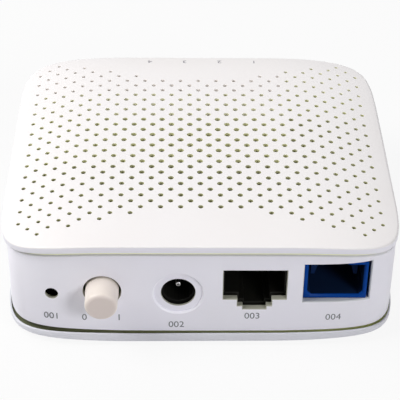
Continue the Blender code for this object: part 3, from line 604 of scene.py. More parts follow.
# painted shade in the seam's channel: dark olive at its open -X end, painted paler towards its tight +X end
channelShadeLook = {
    "colour": (0.115, 0.125, 0.065), "drift": (0.085, 0.092, 0.05), "second": (0.74, 0.78, 0.36),
    "driftAmount": 0.7, "driftScale": 120.0, "grain": 2500.0, "spread": 0.2, "roughness": 0.8,
    "openX": -34 * mm, "tightX": 33 * mm,
}


def channelShadeMask(tree, look):
    return ramp(tree, partOf(tree, "Object", "X"), look["openX"], look["tightX"])


finishes["boardGreen"] = moulded("boardGreen", boardLook, traceMask)
finishes["capCream"] = moulded("capCream", capLook, faceShadeMask)
finishes["channelShade"] = moulded("channelShade", channelShadeLook, channelShadeMask)
print("finishes:", len(finishes), "made")


# Lid: crowned plate with a rim, and a lattice of vents that shrink towards its edge

lidForm = {
    "plate": 1.0 * mm,
    "rimHeight": 1.55 * mm,
    "frontRound": 0.22 * mm,  # the front edge is crisp, the others softer
    "sideRound": 0.6 * mm,
    "crispStart": 0.35,       # share of the way to the front where the edge starts to get crisp
    "crispGain": 2,
    "lipRound": 0.15 * mm,
    "roundSteps": 8,
    "neckInset": 0.75 * mm,
    "neckDrop": 2.3 * mm,     # below the top, as is the next one
    "tongueDrop": 3.8 * mm,
    "tongueOutside": 2.4 * mm,
    "tongueInside": 3.6 * mm,
    "postRadius": 2.4 * mm,
    "pilotRadius": 1.4 * mm,
    "pilotSpare": 0.3 * mm,   # past the screw's end
    "bendAbove": 18 * mm,     # posts stay straight below this
}
ventForm = {
    "step": 2 * mm,
    "shiftY": 0.3 * mm,
    "columns": 18,
    "rows": 16,
    "fullRows": 12,           # rows past these are bare in the middle
    "bareSlope": 3,
    "bareStart": 32,
    "cornerSum": 32,
    "radius": 0.65 * mm,
    "edgeRadius": 0.36 * mm,
    "flare": 0.06 * mm,
    "sides": 14,
    "sideReach": 22,          # steps from the middle to where a vent has its edge radius
    "frontReach": 22,
    "backReach": 16,
    "greyRow": 5,             # from these rows on, towards the back, the walls' painted shade is paler
    "paleRow": 10,
    "darkRow": -5,            # up to this row and from this column on, their painted shade is darker
    "darkColumn": 10,
}


def rimSection(face, form, rimRound, down, look):
    # from the flat face round the edge to the other lip, down = 1 for the lid and -1 for the base
    turns = quarterRound(rimRound, form["roundSteps"])
    section = [(inset, face - down * fall, 0) for inset, fall in turns]
    section[-1] = (*section[-1][:2], look)
    lip = face - down * form["rimHeight"]
    lipTurns = quarterRound(form["lipRound"], caseForm["lipSteps"])
    return section + [(inset, lip + down * fall, look) for inset, fall in reversed(lipTurns)]


def ventPlaces():
    for row in range(-ventForm["rows"], ventForm["rows"] + 1):
        for column in range(-ventForm["columns"], ventForm["columns"] + 1):
            across, along = abs(column), abs(row)
            bareHalf = ventForm["bareSlope"] * along - ventForm["bareStart"]
            bare = along > ventForm["fullRows"] and across < bareHalf
            if (column + row) % 2 == 0 and across + along <= ventForm["cornerSum"] and not bare:
                yield column, row


def ventTool():
    shape = bmesh.new()
    flare = ventForm["flare"]
    above = 2 * flare
    for column, row in ventPlaces():
        reach = ventForm["backReach"] if row > 0 else ventForm["frontReach"]
        outwards = min(1.0, math.hypot(column / ventForm["sideReach"], row / reach))
        radius = ventForm["radius"] + (ventForm["edgeRadius"] - ventForm["radius"]) * outwards
        x = column * ventForm["step"]
        y = row * ventForm["step"] + ventForm["shiftY"] + caseForm["centreY"]
        profile = [(radius + flare + above, above), (radius, -flare), (radius, -2 * lidForm["plate"])]
        # each vent's walls get a painted shade by where the vent lies
        darkVent = row <= ventForm["darkRow"] or column >= ventForm["darkColumn"]
        look = 1 + (row >= ventForm["greyRow"]) + (row >= ventForm["paleRow"]) - darkVent
        turnOn(shape, profile, ventForm["sides"], (x, y, caseForm["top"]), "z", look)
    return meshFrom("vents", shape, "ventShadeDark", "ventShadeOlive", "ventShadeGrey", "ventShadePale")


def makeLid():
    top = caseForm["top"]
    plateLow = top - lidForm["plate"]
    neckLow = top - lidForm["neckDrop"]
    tongueLow = top - lidForm["tongueDrop"]
    rimLow = top - lidForm["rimHeight"]
    inner = [("neckInset", rimLow), ("neckInset", neckLow), ("tongueOutside", neckLow)]
    inner += [("tongueOutside", tongueLow), ("tongueInside", tongueLow), ("tongueInside", plateLow)]

    def sectionAt(angle):
        crisp = (-math.sin(angle) - lidForm["crispStart"]) * lidForm["crispGain"]
        crisp = min(1.0, max(0.0, crisp))
        rimRound = lidForm["sideRound"] + (lidForm["frontRound"] - lidForm["sideRound"]) * crisp
        section = rimSection(top, lidForm, rimRound, 1, 1)
        return section + [(lidForm[key], height, 2) for key, height in inner]

    shape = sweptCase(sectionAt)
    splitForCrown(shape)
    splitInStrips(shape, rollStart, rollStart + caseForm["rollLength"], (0.0, 1.0, 0.0))
    # the rim's faces get the wall's painted cool shade, the neck the painted shade of the top seam
    lid = meshFrom("lid", shape, "lidWhite", "wallCoolShade", "neckShade")
    posts = [middleOf(node) for node in screwNodes]
    postTop = top - lidForm["plate"] / 2
    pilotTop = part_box(screwNodes[0])[1].z + lidForm["pilotSpare"]
    lid = carve(lid, uprightPins(posts, lidForm["postRadius"], lidLow.z, postTop, "lidWhite"), "UNION")
    lid = carve(lid, uprightPins(posts, lidForm["pilotRadius"], 0.0, pilotTop, "lidWhite"))
    lid = carve(lid, ventTool())
    bend(lid, lambda x, y, z: -lidDrop(x, y) if z > lidForm["bendAbove"] else 0.0)
    addPiece("lidShell", lid, "case", "case_white", "top_cover")


makeLid()
print("lid: vents cut", sum(1 for _ in ventPlaces()))


# Wall ring with the port row

wallForm = {
    "inset": 0.5 * mm,
    "thickness": 1.6 * mm,
    "top": 22.4 * mm,
    "bottom": 3.27 * mm,
    "lipRound": 0.15 * mm,
    "openingPower": 4,
    "seamOpening": 0.8 * mm,  # the lower seam gapes towards the -X side
}
portForm = {
    "flare": 0.12 * mm,
    "lanSteps": (             # width and height of each step, from the top down
        (12.5 * mm, 18.8 * mm), (12.5 * mm, 11.6 * mm), (6.8 * mm, 9.9 * mm), (4.65 * mm, 9.1 * mm),
    ),
    "ponWidth": 13.2 * mm,
    "ponLow": 10.93 * mm,
    "ponHigh": 20.28 * mm,
    "ponShift": 0.2 * mm,
    "ponCuts": 24,            # so that its long edges follow the wall
    "edge": 1.25 * mm,        # the wall is thinned to this behind each port
    "resetEdge": 0.6 * mm,
    "dcEdge": 0.4 * mm,
    "relief": 0.7 * mm,
    "dcRecess": 4.8 * mm,
    "dcRecessDepth": 0.6 * mm,
    "dcRecessSide": 0.8,      # share of that depth
    "dcRecessFlare": 0.3 * mm,
    "dcHole": 3.4 * mm,
    "buttonHole": 3.75 * mm,
    "resetHole": 1.3 * mm,
    "sides": 72,
    "toolOut": 0.3 * mm,      # how far the cutting tools reach out of the wall and into the case
    "toolIn": 6 * mm,
    "pipeHole": 1.3 * mm,
    "pipeHoleOut": 2 * mm,
}
capForm = {
    "tipRadius": 3.2 * mm,
    "rootRadius": 3.4 * mm,
    "round": 0.9 * mm,
    "roundSteps": 8,
    "sides": 96,
    "socketGap": 0.3 * mm,
    "drop": 0.2 * mm,         # the cap and its hole sit this much below the switch's own axis
}


def panelAt(x):
    return wallFront(x, wallForm["inset"])


def ringLoop(x, z, radius):
    angles = [2 * math.pi * step / portForm["sides"] for step in range(portForm["sides"])]
    return [(x + radius * math.cos(a), z + radius * math.sin(a)) for a in angles]


def lanLoop(x):
    # up the right side in steps, then down the left side; counter-clockwise
    (width, top), (_, floor), (keyWidth, key), (latchWidth, sill) = portForm["lanSteps"]
    right = [(latchWidth / 2, sill), (latchWidth / 2, key), (keyWidth / 2, key), (keyWidth / 2, floor)]
    right += [(width / 2, floor), (width / 2, top)]
    return [(x + across, z) for across, z in right] + [(x - across, z) for across, z in reversed(right)]


def ponLoop(x):
    left, right, cuts = x - portForm["ponWidth"] / 2, x + portForm["ponWidth"] / 2, portForm["ponCuts"]
    xs = [left + (right - left) * i / cuts for i in range(cuts + 1)]
    return [(x, portForm["ponLow"]) for x in xs] + [(x, portForm["ponHigh"]) for x in reversed(xs)]


def grown(loop, amount):
    points = []
    for i, (x, z) in enumerate(loop):
        (x0, z0), (x1, z1) = loop[i - 1], loop[(i + 1) % len(loop)]
        first = Vector((z - z0, x0 - x)).normalized()
        second = Vector((z1 - z, x - x1)).normalized()
        move = (first + second) / (1 + first.dot(second)) * amount
        points.append((x + move.x, z + move.y))
    return points


# by default the cut faces get the cut edges' painted shade, and behind the wall's edge the seam's shade
def portTool(loop, surface, back, flare, edge, relief, looks=("cutEdgeShade", "seamShade")):
    # a plug that widens at 45 degrees where it leaves the surface, and by relief behind the wall's edge
    out = portForm["toolOut"]
    wider = grown(loop, relief)
    rings = [(grown(loop, flare + out), -out), (loop, flare), (loop, edge), (wider, edge)]
    loops = [[(x, surface(x) + depth, z) for x, z in ring] for ring, depth in rings]
    loops.append([(x, back, z) for x, z in wider])
    shape = bmesh.new()
    joinLoops(shape, loops, looks=(0, 0, 1, 1))
    shape.faces.ensure_lookup_table()
    shape.faces[1].material_index = 1     # the far end
    return meshFrom("port", shape, *looks)


def portTools():
    panelFace = panelAt(0.0)
    back = panelFace + portForm["toolIn"]
    flare, edge, relief = portForm["flare"], portForm["edge"], portForm["relief"]
    dc, button, reset = (middleOf(node) for node in ("dc_jack_pin", "power_button", "reset_plunger"))
    dcFloor = panelFace + portForm["dcRecessDepth"]
    dcSide = portForm["dcRecessSide"] * portForm["dcRecessDepth"]
    lan = lanLoop(middleOf("lan_jack_housing").x)
    pon = ponLoop(middleOf("sc_adapter").x + portForm["ponShift"])
    recess, hole = (ringLoop(dc.x, dc.z, portForm[key]) for key in ("dcRecess", "dcHole"))
    buttonHole = ringLoop(button.x, button.z - capForm["drop"], portForm["buttonHole"])
    resetHole = ringLoop(reset.x, reset.z, portForm["resetHole"])
    # the recess is painted lighter as painted light, and its deepest faces get the wall's painted shade
    recessLooks = ("recessLitWhite", "wallCoolShade")
    return [
        portTool(lan, panelAt, back, flare, edge, relief),
        portTool(pon, panelAt, back, flare, edge, relief, ("sillShade", "seamShade")),
        portTool(recess, panelAt, dcFloor, portForm["dcRecessFlare"], dcSide, 0.0, recessLooks),
        portTool(hole, lambda x: dcFloor, back, flare / 3, portForm["dcEdge"], relief),
        portTool(buttonHole, panelAt, back, flare / 2, edge, 0.0),
        portTool(resetHole, panelAt, back, flare / 3, portForm["resetEdge"], relief),
    ]


def pipeWays():
    shape = bmesh.new()
    radius = portForm["pipeHole"]
    way = [(radius, -portForm["toolIn"]), (radius, portForm["pipeHoleOut"])]
    for node in pipeNodes:
        low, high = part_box(node)
        centre = ((low.x + high.x) / 2, high.y, high.z - (high.x - low.x) / 2)
        turnOn(shape, way, fineSides, centre, "y")
    return meshFrom("pipeWays", shape, "cutEdgeShade")


def makeWall():
    outside, bottom, top = wallForm["inset"], wallForm["bottom"], wallForm["top"]
    inside = outside + wallForm["thickness"]
    turns = quarterRound(wallForm["lipRound"], caseForm["lipSteps"])
    section = [(outside + inset, bottom + fall, 0) for inset, fall in turns]
    section += [(outside + inset, top - fall, 0) for inset, fall in reversed(turns)]
    section += [(inside, top, 0), (inside, bottom, 0)]
    # the wall ring carries the painted cool shade of the upright faces
    wall = meshFrom("wall", sweptCase(lambda angle: section, ring=True), "wallCoolShade")

    def follow(x, y, z):
        if z > (top + bottom) / 2:
            return -lidDrop(x, y)
        leftness = (1 - x / caseForm["halfWidth"]) / 2
        return baseRise(x, 1.0) + wallForm["seamOpening"] * leftness ** wallForm["openingPower"]

    bend(wall, follow, lambda x: caseForm["lowerShift"] + cornerSpread(x) / 2)
    for tool in (*portTools(), pipeWays()):
        wall = carve(wall, tool)
    addPiece("wallRing", wall, "case", "case_white", "middle_frame")


makeWall()
print("wall: ports cut")


# Base tray on its feet

baseForm = {
    "rimRound": 0.15 * mm,
    "rimHeight": 1.95 * mm,
    "lipRound": 0.1 * mm,
    "lipWidth": 0.3 * mm,     # a thin lip, and behind it the channel that the seam looks into
    "channel": 0.9 * mm,
    "roundSteps": 8,
    "floor": 1.8 * mm,
    "tongueOutside": 2.4 * mm,
    "tongueInside": 3.6 * mm,
    "tongueTop": 4.55 * mm,
    "shiftShare": 0.75,       # of the lower shift, in the middle of the base
    "bossRadius": 3.6 * mm,
    "bossTop": 6.1 * mm,
    "screwWay": 1.4 * mm,
    "sinkRadius": 2.6 * mm,
    "sinkDepth": 1.5 * mm,    # from the screw's head inwards
    "footRadius": 4.3 * mm,
    "footGap": 0.3 * mm,      # above a foot
    "footSides": 64,
    "labelWidth": 36 * mm,
    "labelLength": 22 * mm,
    "labelDepth": 0.3 * mm,
    "labelRound": 1.5 * mm,
    "labelSegments": 6,
}


def labelTool(below, top):
    shape = bmesh.new()
    halfWidth, halfLength = baseForm["labelWidth"] / 2, baseForm["labelLength"] / 2
    middleY = caseForm["centreY"]
    boxIn(shape, (-halfWidth, middleY - halfLength, below), (halfWidth, middleY + halfLength, top))
    corners = [edge for edge in shape.edges if abs(edge.verts[0].co.z - edge.verts[1].co.z) > mm]
    roundEdges(shape, corners, baseForm["labelRound"], baseForm["labelSegments"])
    return meshFrom("label", shape, "baseShadeWhite")


def makeBase():
    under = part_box("bottom_cover")[0].z
    floor = under + baseForm["floor"]
    rimTop = under + baseForm["rimHeight"]
    channelLow = rimTop - baseForm["channel"]
    tongueTop = baseForm["tongueTop"]
    inner = [("lipWidth", rimTop, 1), ("lipWidth", channelLow, 1), ("tongueOutside", channelLow, 1)]
    inner += [("tongueOutside", tongueTop, 0), ("tongueInside", tongueTop, 0), ("tongueInside", floor, 0)]
    section = rimSection(under, baseForm, baseForm["rimRound"], -1, 0)
    section += [(baseForm[key], height, look) for key, height, look in inner]
    shape = sweptCase(lambda angle: section)
    splitForCrown(shape)
    base = meshFrom("base", shape, "baseShadeWhite", "channelShade")
    middleShift = baseForm["shiftShare"] * caseForm["lowerShift"]

    def curl(x, y, z):
        return baseRise(x, min(1.0, (z - under) / baseForm["rimHeight"]))

    bend(base, curl, lambda x: middleShift * (1 - x / caseForm["halfWidth"]) + cornerSpread(x))
    posts, feet = ([middleOf(node) for node in nodes] for nodes in (screwNodes, footNodes))
    below = -mm               # under everything
    bossTop = baseForm["bossTop"]
    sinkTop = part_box(screwNodes[0])[0].z + baseForm["sinkDepth"]
    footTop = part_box(footNodes[0])[1].z + baseForm["footGap"]
    base = carve(base, uprightPins(posts, baseForm["bossRadius"], floor, bossTop, "baseShadeWhite"), "UNION")
    ways = [
        uprightPins(posts, baseForm["screwWay"], below, 2 * bossTop, "baseShadeWhite"),
        uprightPins(posts, baseForm["sinkRadius"], below, sinkTop, "baseShadeWhite", fineSides),
        uprightPins(feet, baseForm["footRadius"], below, footTop, "baseShadeWhite", baseForm["footSides"]),
        labelTool(below, under + baseForm["labelDepth"]),
    ]
    for tool in ways:
        base = carve(base, tool)
    addPiece("baseTray", base, "case", "case_white", "bottom_cover")


makeBase()
print("base: made")


# Power button cap

def makeCap():
    low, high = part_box("power_button")
    middle = (low + high) / 2
    turns = quarterRound(capForm["round"], capForm["roundSteps"])
    profile = [(capForm["tipRadius"] - inset, low.y + fall) for inset, fall in turns]
    profile.append((capForm["rootRadius"], high.y))
    centre = (middle.x, 0.0, middle.z - capForm["drop"])
    cap = turnedMesh("cap", "capCream", profile, capForm["sides"], centre, "y")
    stemLow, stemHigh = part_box("power_switch_plunger")
    gap = Vector((capForm["socketGap"],) * 3)
    cap = carve(cap, boxMesh("socket", "capCream", (stemLow - gap, stemHigh + gap)))
    addPiece("buttonCap", cap, "power_button", "button_cream", "power_button")


makeCap()


# Blue adapter: a sleeve with a keyway in its roof, two hooks and chamfered lower corners

adapterForm = {
    "height": 8.95 * mm,
    "nose": 0.2 * mm,         # how far the sleeve reaches in front of its solid
    "wall": 0.75 * mm,
    "edge": 0.12 * mm,
    "edgeSegments": 2,
    "leadIn": 0.3 * mm,
    "lip": 0.5 * mm,
    "reveal": 0.12 * mm,
    "pocket": 12.5 * mm,
    "cornerCut": 0.8 * mm,
    "keyWidth": 4.6 * mm,
    "keyDepth": 4.0 * mm,
    "keyOverlap": 0.1 * mm,   # below the roof's inner face
    "hookAcross": 3.6 * mm,
    "hookTop": 1.0 * mm,      # half widths of a hook
    "hookTip": 0.35 * mm,
    "hookDrop": 4.9 * mm,
    "hookRoot": 0.2 * mm,     # inside the roof
    "hookFront": 3.6 * mm,
    "hookLength": 3.0 * mm,
    "sleeveWay": 1.9 * mm,
    "legWidth": 3.0 * mm,
    "legGap": 0.3 * mm,       # above the board
}


def hookTool(x, roof, front):
    shape = bmesh.new()
    hookLow, hookHigh = roof - adapterForm["hookDrop"], roof + adapterForm["hookRoot"]
    top, tip = adapterForm["hookTop"], adapterForm["hookTip"]
    hookFront = front + adapterForm["hookFront"]
    hookBack = hookFront + adapterForm["hookLength"]
    for side in (-1, 1):
        hookX = x + side * adapterForm["hookAcross"]
        tipX = hookX + side * (top - tip)
        outline = [(hookX - top, hookHigh), (hookX + top, hookHigh)]
        outline += [(tipX + tip, hookLow), (tipX - tip, hookLow)]
        joinLoops(shape, [[(px, y, pz) for px, pz in outline] for y in (hookFront, hookBack)])
    return meshFrom("hooks", shape, "adapterHookShade")


def makeAdapter():
    low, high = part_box("sc_adapter")
    x, front, back = middleOf("sc_adapter").x, low.y - adapterForm["nose"], high.y
    bodyLow = high.z - adapterForm["height"]
    z = (bodyLow + high.z) / 2
    shape = bmesh.new()
    boxIn(shape, (low.x, front, bodyLow), (high.x, back, high.z))
    roundEdges(shape, shape.edges, adapterForm["edge"], adapterForm["edgeSegments"])
    body = meshFrom("adapter", shape, "adapterBlue")
    left, right = low.x + adapterForm["wall"], high.x - adapterForm["wall"]
    floor, roof = bodyLow + adapterForm["wall"], high.z - adapterForm["wall"]
    cut = adapterForm["cornerCut"]
    loop = [(left + cut, floor), (right - cut, floor), (right, floor + cut), (right, roof)]
    loop += [(left, roof), (left, floor + cut)]
    pocketBack = front + adapterForm["pocket"]
    # the pocket's deeper faces are painted dark navy as painted shade
    pocket = portTool(
        loop, lambda x: front, pocketBack, adapterForm["leadIn"], adapterForm["lip"],
        adapterForm["reveal"], ("adapterBlue", "adapterInnerShade"),
    )
    half = adapterForm["keyWidth"] / 2
    keyLow = (x - half, front - mm, roof - adapterForm["keyOverlap"])
    keyHigh = (x + half, front + adapterForm["keyDepth"], high.z + mm)
    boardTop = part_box("main_board")[1].z + adapterForm["legGap"]
    leg = adapterForm["legWidth"]
    legs = [
        ((start, back - 2 * leg, boardTop), (start + leg, back - leg, z)) for start in (low.x, high.x - leg)
    ]
    radius = adapterForm["sleeveWay"]
    way = [(radius, pocketBack - mm), (radius, back + mm)]
    body = carve(body, pocket)
    body = carve(body, boxMesh("keyway", "adapterInnerShade", (keyLow, keyHigh)))
    body = carve(body, hookTool(x, roof, front), "UNION")
    body = carve(body, boxMesh("legs", "adapterBlue", *legs), "UNION")
    body = carve(body, turnedMesh("sleeveWay", "adapterBlue", way, fineSides, (x, 0.0, z), "y"))
    addPiece("blueAdapter", body, "case", "adapter_blue", "sc_adapter")


makeAdapter()
print("button and adapter: made")


# Small turned and drawn pieces

footForm = {
    "round": 0.3 * mm,
    "roundSteps": 5,
    "dishFloor": 0.55,        # shares of the radius, of a shallow dish underneath
    "dishEdge": 0.6,
    "dishDepth": 0.1 * mm,
    "sides": 72,
}


def makeFeet():
    for i, node in enumerate(footNodes):
        low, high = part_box(node)
        middle = (low + high) / 2
        radius = (high.x - low.x) / 2
        turns = quarterRound(footForm["round"], footForm["roundSteps"])
        profile = [(radius * footForm["dishFloor"], low.z + footForm["dishDepth"])]
        profile.append((radius * footForm["dishEdge"], low.z))
        profile += [(radius - inset, low.z + fall) for inset, fall in turns]
        profile.append((radius, high.z))
        foot = turnedMesh("foot", "footRubber", profile, footForm["sides"], (middle.x, middle.y, 0.0), "z")
        addPiece(f"footPad_{i + 1}", foot, "case", "rubber", node)


screwForm = {
    "head": 2.3 * mm,
    "headHeight": 1.2 * mm,
    "dome": ((0.55, 0.0), (0.85, 0.15 * mm), (1.0, 0.45 * mm)),   # share of the head's radius, height
    "shank": 1.1 * mm,
    "point": 0.6 * mm,
    "pointShare": 0.5,
    "slot": 0.35 * mm,        # half width of the cross slot
    "slotShare": 0.62,        # of the head's radius
    "slotDepth": 0.7 * mm,
}


def makeScrews():
    head, shank, slot = screwForm["head"], screwForm["shank"], screwForm["slot"]
    reach = head * screwForm["slotShare"]
    for i, node in enumerate(screwNodes):
        low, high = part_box(node)
        middle = (low + high) / 2
        headTop = low.z + screwForm["headHeight"]
        profile = [(head * share, low.z + rise) for share, rise in screwForm["dome"]]
        profile += [(head, headTop), (shank, headTop), (shank, high.z - screwForm["point"])]
        profile.append((shank * screwForm["pointShare"], high.z))
        screw = turnedMesh("screw", "steel", profile, fineSides, (middle.x, middle.y, 0.0), "z")
        slotTop = low.z + screwForm["slotDepth"]
        for halfX, halfY in ((slot, reach), (reach, slot)):
            slotLow = (middle.x - halfX, middle.y - halfY, low.z - mm)
            slotHigh = (middle.x + halfX, middle.y + halfY, slotTop)
            screw = carve(screw, boxMesh("slot", "steel", (slotLow, slotHigh)))
        addPiece(f"caseScrew_{i + 1}", screw, "case", "steel", node)


pinForm = {
    "radius": 0.55 * mm,
    "reach": 0.6 * mm,        # how far the nose stands in front of its solid
    "bore": 0.27 * mm,        # the pin is a hollow one
    "boreDepth": 1.5 * mm,
    "noseShare": 0.8,         # of the rim round the bore
    "noseSteps": 8,
}


def makePin():
    low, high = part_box("dc_jack_pin")
    middle = (low + high) / 2
    radius, bore = pinForm["radius"], pinForm["bore"]
    nose = quarterRound((radius - bore) * pinForm["noseShare"], pinForm["noseSteps"])
    tip = low.y - pinForm["reach"]
    profile = [(bore, tip + pinForm["boreDepth"]), (bore, tip)]
    profile += [(radius - inset, tip + fall) for inset, fall in nose] + [(radius, high.y)]
    pin = turnedMesh("pin", "steel", profile, fineSides, (middle.x, 0.0, middle.z), "y")
    addPiece("jackPin", pin, "case", "steel", "dc_jack_pin")


contactForm = {
    "radius": 0.2 * mm,
    "tail": 3 * mm,           # from the knee to the back end
    "steps": 8,
    "sag": 1.4,
    "rises": ((0.4 * mm, 0.0), (1.2 * mm, 0.35)),   # way behind the knee, share of the rise to the end
}


def makeContacts():
    radius, steps = contactForm["radius"], contactForm["steps"]
    for i, node in enumerate(contactNodes):
        low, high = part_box(node)
        x = (low.x + high.x) / 2
        start, knee, end = high.z - radius, low.z + radius, (low.z + high.z) / 2
        kneeY = high.y - contactForm["tail"]
        points = []
        for step in range(steps + 1):
            share = step / steps
            height = start + (knee - start) * share ** contactForm["sag"]
            points.append((x, low.y + (kneeY - low.y) * share, height))
        points += [(x, kneeY + way, knee + (end - knee) * rise) for way, rise in contactForm["rises"]]
        points.append((x, high.y, end))
        contact = wireMesh("contact", "gold", points, radius)
        addPiece(f"contactWire_{i + 1}", contact, "case", "gold", node)


springForm = {"turns": 5, "pointsInTurn": 28, "wire": 0.2 * mm, "radius": 2.5 * mm}


def makeSpring():
    low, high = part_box("power_switch_spring")
    wire, radius = springForm["wire"], springForm["radius"]
    middle = middleOf("power_button")
    front, back = low.y + wire, high.y - wire
    count = springForm["turns"] * springForm["pointsInTurn"]
    points = []
    for i in range(count + 1):
        angle = 2 * math.pi * i / springForm["pointsInTurn"]
        across, up = radius * math.cos(angle), radius * math.sin(angle)
        points.append((middle.x + across, front + (back - front) * i / count, middle.z + up))
    coil = wireMesh("spring", "steel", points, wire)
    spring = addPiece("returnSpring", coil, "case", "steel", "power_switch_spring")
    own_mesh(spring)


pipeForm = {"bend": 1.2 * mm, "bendSteps": 8, "sides": 40}


def makePipes():
    bendRadius, steps = pipeForm["bend"], pipeForm["bendSteps"]
    for i, node in enumerate(pipeNodes):
        low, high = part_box(node)
        radius = (high.x - low.x) / 2
        x, z, footY = (low.x + high.x) / 2, high.z - radius, low.y + radius
        points = [(x, footY, low.z)]
        for step in range(steps + 1):
            angle = math.pi / 2 * step / steps
            y = footY + bendRadius * (1 - math.cos(angle))
            points.append((x, y, z - bendRadius * (1 - math.sin(angle))))
        points.append((x, high.y, z))
        pipe = wireMesh("pipe", "lampClear", points, radius, pipeForm["sides"])
        addPiece(f"lightPipe_{i + 1}", pipe, "case", "lamp_clear", node)


makeFeet()
makeScrews()
makePin()
makeContacts()
makeSpring()
makePipes()
print("small pieces: made")


# Solids that stay: a finish each, and softened edges

keptLooks = {
    "jackBlack": ("lan_jack_housing", "dc_jack_housing", "power_switch_body", "power_switch_plunger",
                  "reset_switch_body", "reset_plunger"),
    "chipBlack": ("lan_transformer", "main_chip", "memory_chip", "flash_chip"),
    "boardGreen": ("main_board",),
    "gold": ("dc_jack_leaf", "laser_can", "receiver_can"),
    "steel": ("optic_body", "crystal"),
    "aluminium": ("heat_sink", "capacitor_1", "capacitor_2"),
    "ferrite": ("inductor_1", "inductor_2"),
    "ceramic": ("sc_sleeve",),
    "lampClear": ("lamp_1", "lamp_2", "lamp_3", "lamp_4"),
}
edgeForm = {"merge": 0.001 * mm, "width": 0.1 * mm, "segments": 2, "angle": 50}


def dressKept():
    for look, names in keptLooks.items():
        for name in names:
            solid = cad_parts[name]
            solid.data.materials.clear()
            solid.data.materials.append(finishes[look])
            weld = solid.modifiers.new("weld", "WELD")
            weld.merge_threshold = edgeForm["merge"]
            bevel = solid.modifiers.new("softEdge", "BEVEL")
            bevel.width = edgeForm["width"]
            bevel.segments = edgeForm["segments"]
            bevel.limit_method = "ANGLE"
            bevel.angle_limit = math.radians(edgeForm["angle"])


dressKept()
print("kept solids: dressed")


# Printed numerals: one under each port, and one for each lamp on the lid's back edge

printForm = {
    "height": 1.5 * mm,
    "ink": 0.02 * mm,
    "curveSteps": 6,
    "ports": (                # words, X and height of the middle
        ("001", -29.65 * mm, 6.95 * mm), ("0", -23.1 * mm, 6.9 * mm), ("1", -16.2 * mm, 6.9 * mm),
        ("002", -4.8 * mm, 5.1 * mm), ("003", 10.3 * mm, 7.35 * mm), ("004", 26.5 * mm, 6.95 * mm),
    ),
    "lampY": 33.6 * mm,       # from the case centre
}


def drawnText(words, look):
    drawing = bpy.data.curves.new("numeral", "FONT")
    drawing.body = words
    drawing.align_x = "CENTER"
    drawing.extrude = 0.5     # only tells the two sides apart
    drawing.resolution_u = printForm["curveSteps"]
    drawn = bpy.data.objects.new("numeral", drawing)
    show(drawn)
    mesh = settled(drawn)
    bpy.data.objects.remove(drawn)
    tops = [vertex.co.y for vertex in mesh.vertices]
    low, high = min(tops), max(tops)
    scale = printForm["height"] / (high - low)
    for vertex in mesh.vertices:
        vertex.co.x *= scale
        vertex.co.y = (vertex.co.y - (low + high) / 2) * scale
    mesh.materials.clear()
    mesh.materials.append(finishes[look])
    return mesh


def printNumeral(name, words, look, spotAt):
    # spotAt(across, up, proud) lays a point of the drawing on the case
    mesh = drawnText(words, look)
    for vertex in mesh.vertices:
        across, up, side = vertex.co
        vertex.co = spotAt(across, up, math.copysign(printForm["ink"], side))
    addPiece(name, mesh, "case", "case_white")


def onWall(x, z):
    return lambda across, up, proud: (x + across, panelAt(x + across) - proud, z + up)


def onLid(x, y):
    # read from behind
    return lambda across, up, proud: (
        x - across, y - up, caseForm["top"] - lidDrop(x - across, y - up) + proud,
    )


def printNumerals():
    for i, (words, x, z) in enumerate(printForm["ports"]):
        printNumeral(f"portNumeral_{i + 1}", words, "inkGrey", onWall(x, z))
    lampY = caseForm["centreY"] + printForm["lampY"]
    lampXs = sorted((middleOf(node).x for node in pipeNodes), reverse=True)
    for i, x in enumerate(lampXs):
        printNumeral(f"lampNumeral_{i + 1}", str(i + 1), "inkPale", onLid(x, lampY))


printNumerals()
print("numerals: printed")


# Floor, light and camera

plainWhite = (1.0, 1.0, 1.0, 1.0)
studio = {
    "floorSize": 3.0,
    "floorColour": (0.66, 0.66, 0.66),
    "floorRoughness": 0.9,
    "floorGlow": 0.90,        # share of plain white that the floor shows to the camera
    "world": 0.10,
}
lampSet = {
    "keyLeft": {"place": (-0.56, -0.05, 0.64), "size": 0.50, "watts": 6.1, "colour": (1.0, 0.99, 0.98)},
    "rimLeft": {"place": (-0.50, 0.50, 0.60), "size": 0.50, "watts": 1.9, "colour": (1.0, 1.0, 1.0)},
    "fillRight": {"place": (0.55, -0.65, 0.42), "size": 0.30, "watts": 3.8, "colour": (0.98, 0.98, 1.0)},
}


def seenDirectly(tree):
    # 1 for camera, mirror and glass rays, 0 for light that lands on the object
    path = addNode(tree, "ShaderNodeLightPath")
    total = path.outputs["Is Camera Ray"]
    for label in ("Is Glossy Ray", "Is Transmission Ray"):
        either = addNode(tree, "ShaderNodeMath", operation="MAXIMUM")
        tree.links.new(total, either.inputs[0])
        tree.links.new(path.outputs[label], either.inputs[1])
        total = either.outputs[0]
    return total


def mixShaders(tree, share, first, second, output):
    mix = addNode(tree, "ShaderNodeMixShader")
    for source, socket in zip((share, first.outputs[0], second.outputs[0]), mix.inputs):
        tree.links.new(source, socket)
    tree.links.new(mix.outputs[0], tree.nodes[output].inputs["Surface"])


def makeFloor():
    shape = bmesh.new()
    bmesh.ops.create_grid(shape, x_segments=1, y_segments=1, size=studio["floorSize"] / 2)
    floor = bpy.data.objects.new("floor", meshFrom("floor", shape))
    show(floor)
    finish, tree, shader = startFinish("floorWhite")
    shader.inputs["Base Color"].default_value = (*studio["floorColour"], 1.0)
    shader.inputs["Roughness"].default_value = studio["floorRoughness"]
    glow = addNode(tree, "ShaderNodeEmission", {"Color": plainWhite, "Strength": 1.0})
    share = addNode(tree, "ShaderNodeMath", {1: studio["floorGlow"]}, operation="MULTIPLY")
    tree.links.new(seenDirectly(tree), share.inputs[0])
    mixShaders(tree, share.outputs[0], shader, glow, "Material Output")
    floor.data.materials.append(finish)


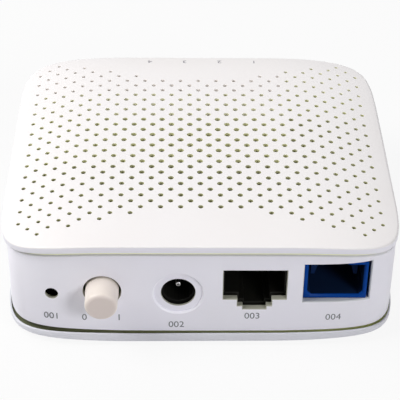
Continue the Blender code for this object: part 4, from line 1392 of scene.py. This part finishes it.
def makeWorld():
    world = bpy.data.worlds.new("studioWorld")
    world.use_nodes = True
    tree = world.node_tree
    around = tree.nodes["Background"]
    around.inputs["Color"].default_value = plainWhite
    around.inputs["Strength"].default_value = studio["world"]
    white = addNode(tree, "ShaderNodeBackground", {"Color": plainWhite, "Strength": 1.0})
    mixShaders(tree, seenDirectly(tree), around, white, "World Output")
    bpy.context.scene.world = world


def makeLamps():
    for name, lamp in lampSet.items():
        light = bpy.data.lights.new(name, "AREA")
        light.shape = "DISK"
        light.size = lamp["size"]
        light.energy = lamp["watts"]
        light.color = lamp["colour"]
        thing = bpy.data.objects.new(name, light)
        thing.location = lamp["place"]
        thing.rotation_euler = (-Vector(lamp["place"])).to_track_quat("-Z", "Y").to_euler()
        show(thing)


cameraSet = {
    "place": (-4.697 * mm, -250.031 * mm, 193.450 * mm),
    "azimuth": 1.1329,        # degrees, to the right of +Y
    "elevation": 36.0996,     # degrees, looking down
    "roll": 0.8267,
    "focal": 1427.66,         # in pixels of the 400 pixel frame
    "frame": 400.0,
    "sensor": 36.0,
    "nearest": 0.01,
}


def makeCamera():
    data = bpy.data.cameras.new("camera")
    data.sensor_width = cameraSet["sensor"]
    data.lens = cameraSet["focal"] / cameraSet["frame"] * cameraSet["sensor"]
    data.clip_start = cameraSet["nearest"]
    azimuth, elevation, roll = (math.radians(cameraSet[key]) for key in ("azimuth", "elevation", "roll"))
    level = Vector((math.cos(azimuth), -math.sin(azimuth), 0.0))
    flat = math.cos(elevation)
    forward = Vector((math.sin(azimuth) * flat, math.cos(azimuth) * flat, -math.sin(elevation)))
    up = level.cross(forward)
    right = level * math.cos(roll) + up * math.sin(roll)
    up = right.cross(forward)
    turn = Matrix((right, up, -forward)).transposed()
    camera = bpy.data.objects.new("camera", data)
    camera.matrix_world = Matrix.Translation(cameraSet["place"]) @ turn.to_4x4()
    show(camera)
    bpy.context.scene.camera = camera


makeFloor()
makeWorld()
makeLamps()
makeCamera()
bpy.context.scene.view_settings.view_transform = "Standard"
print("studio: set")
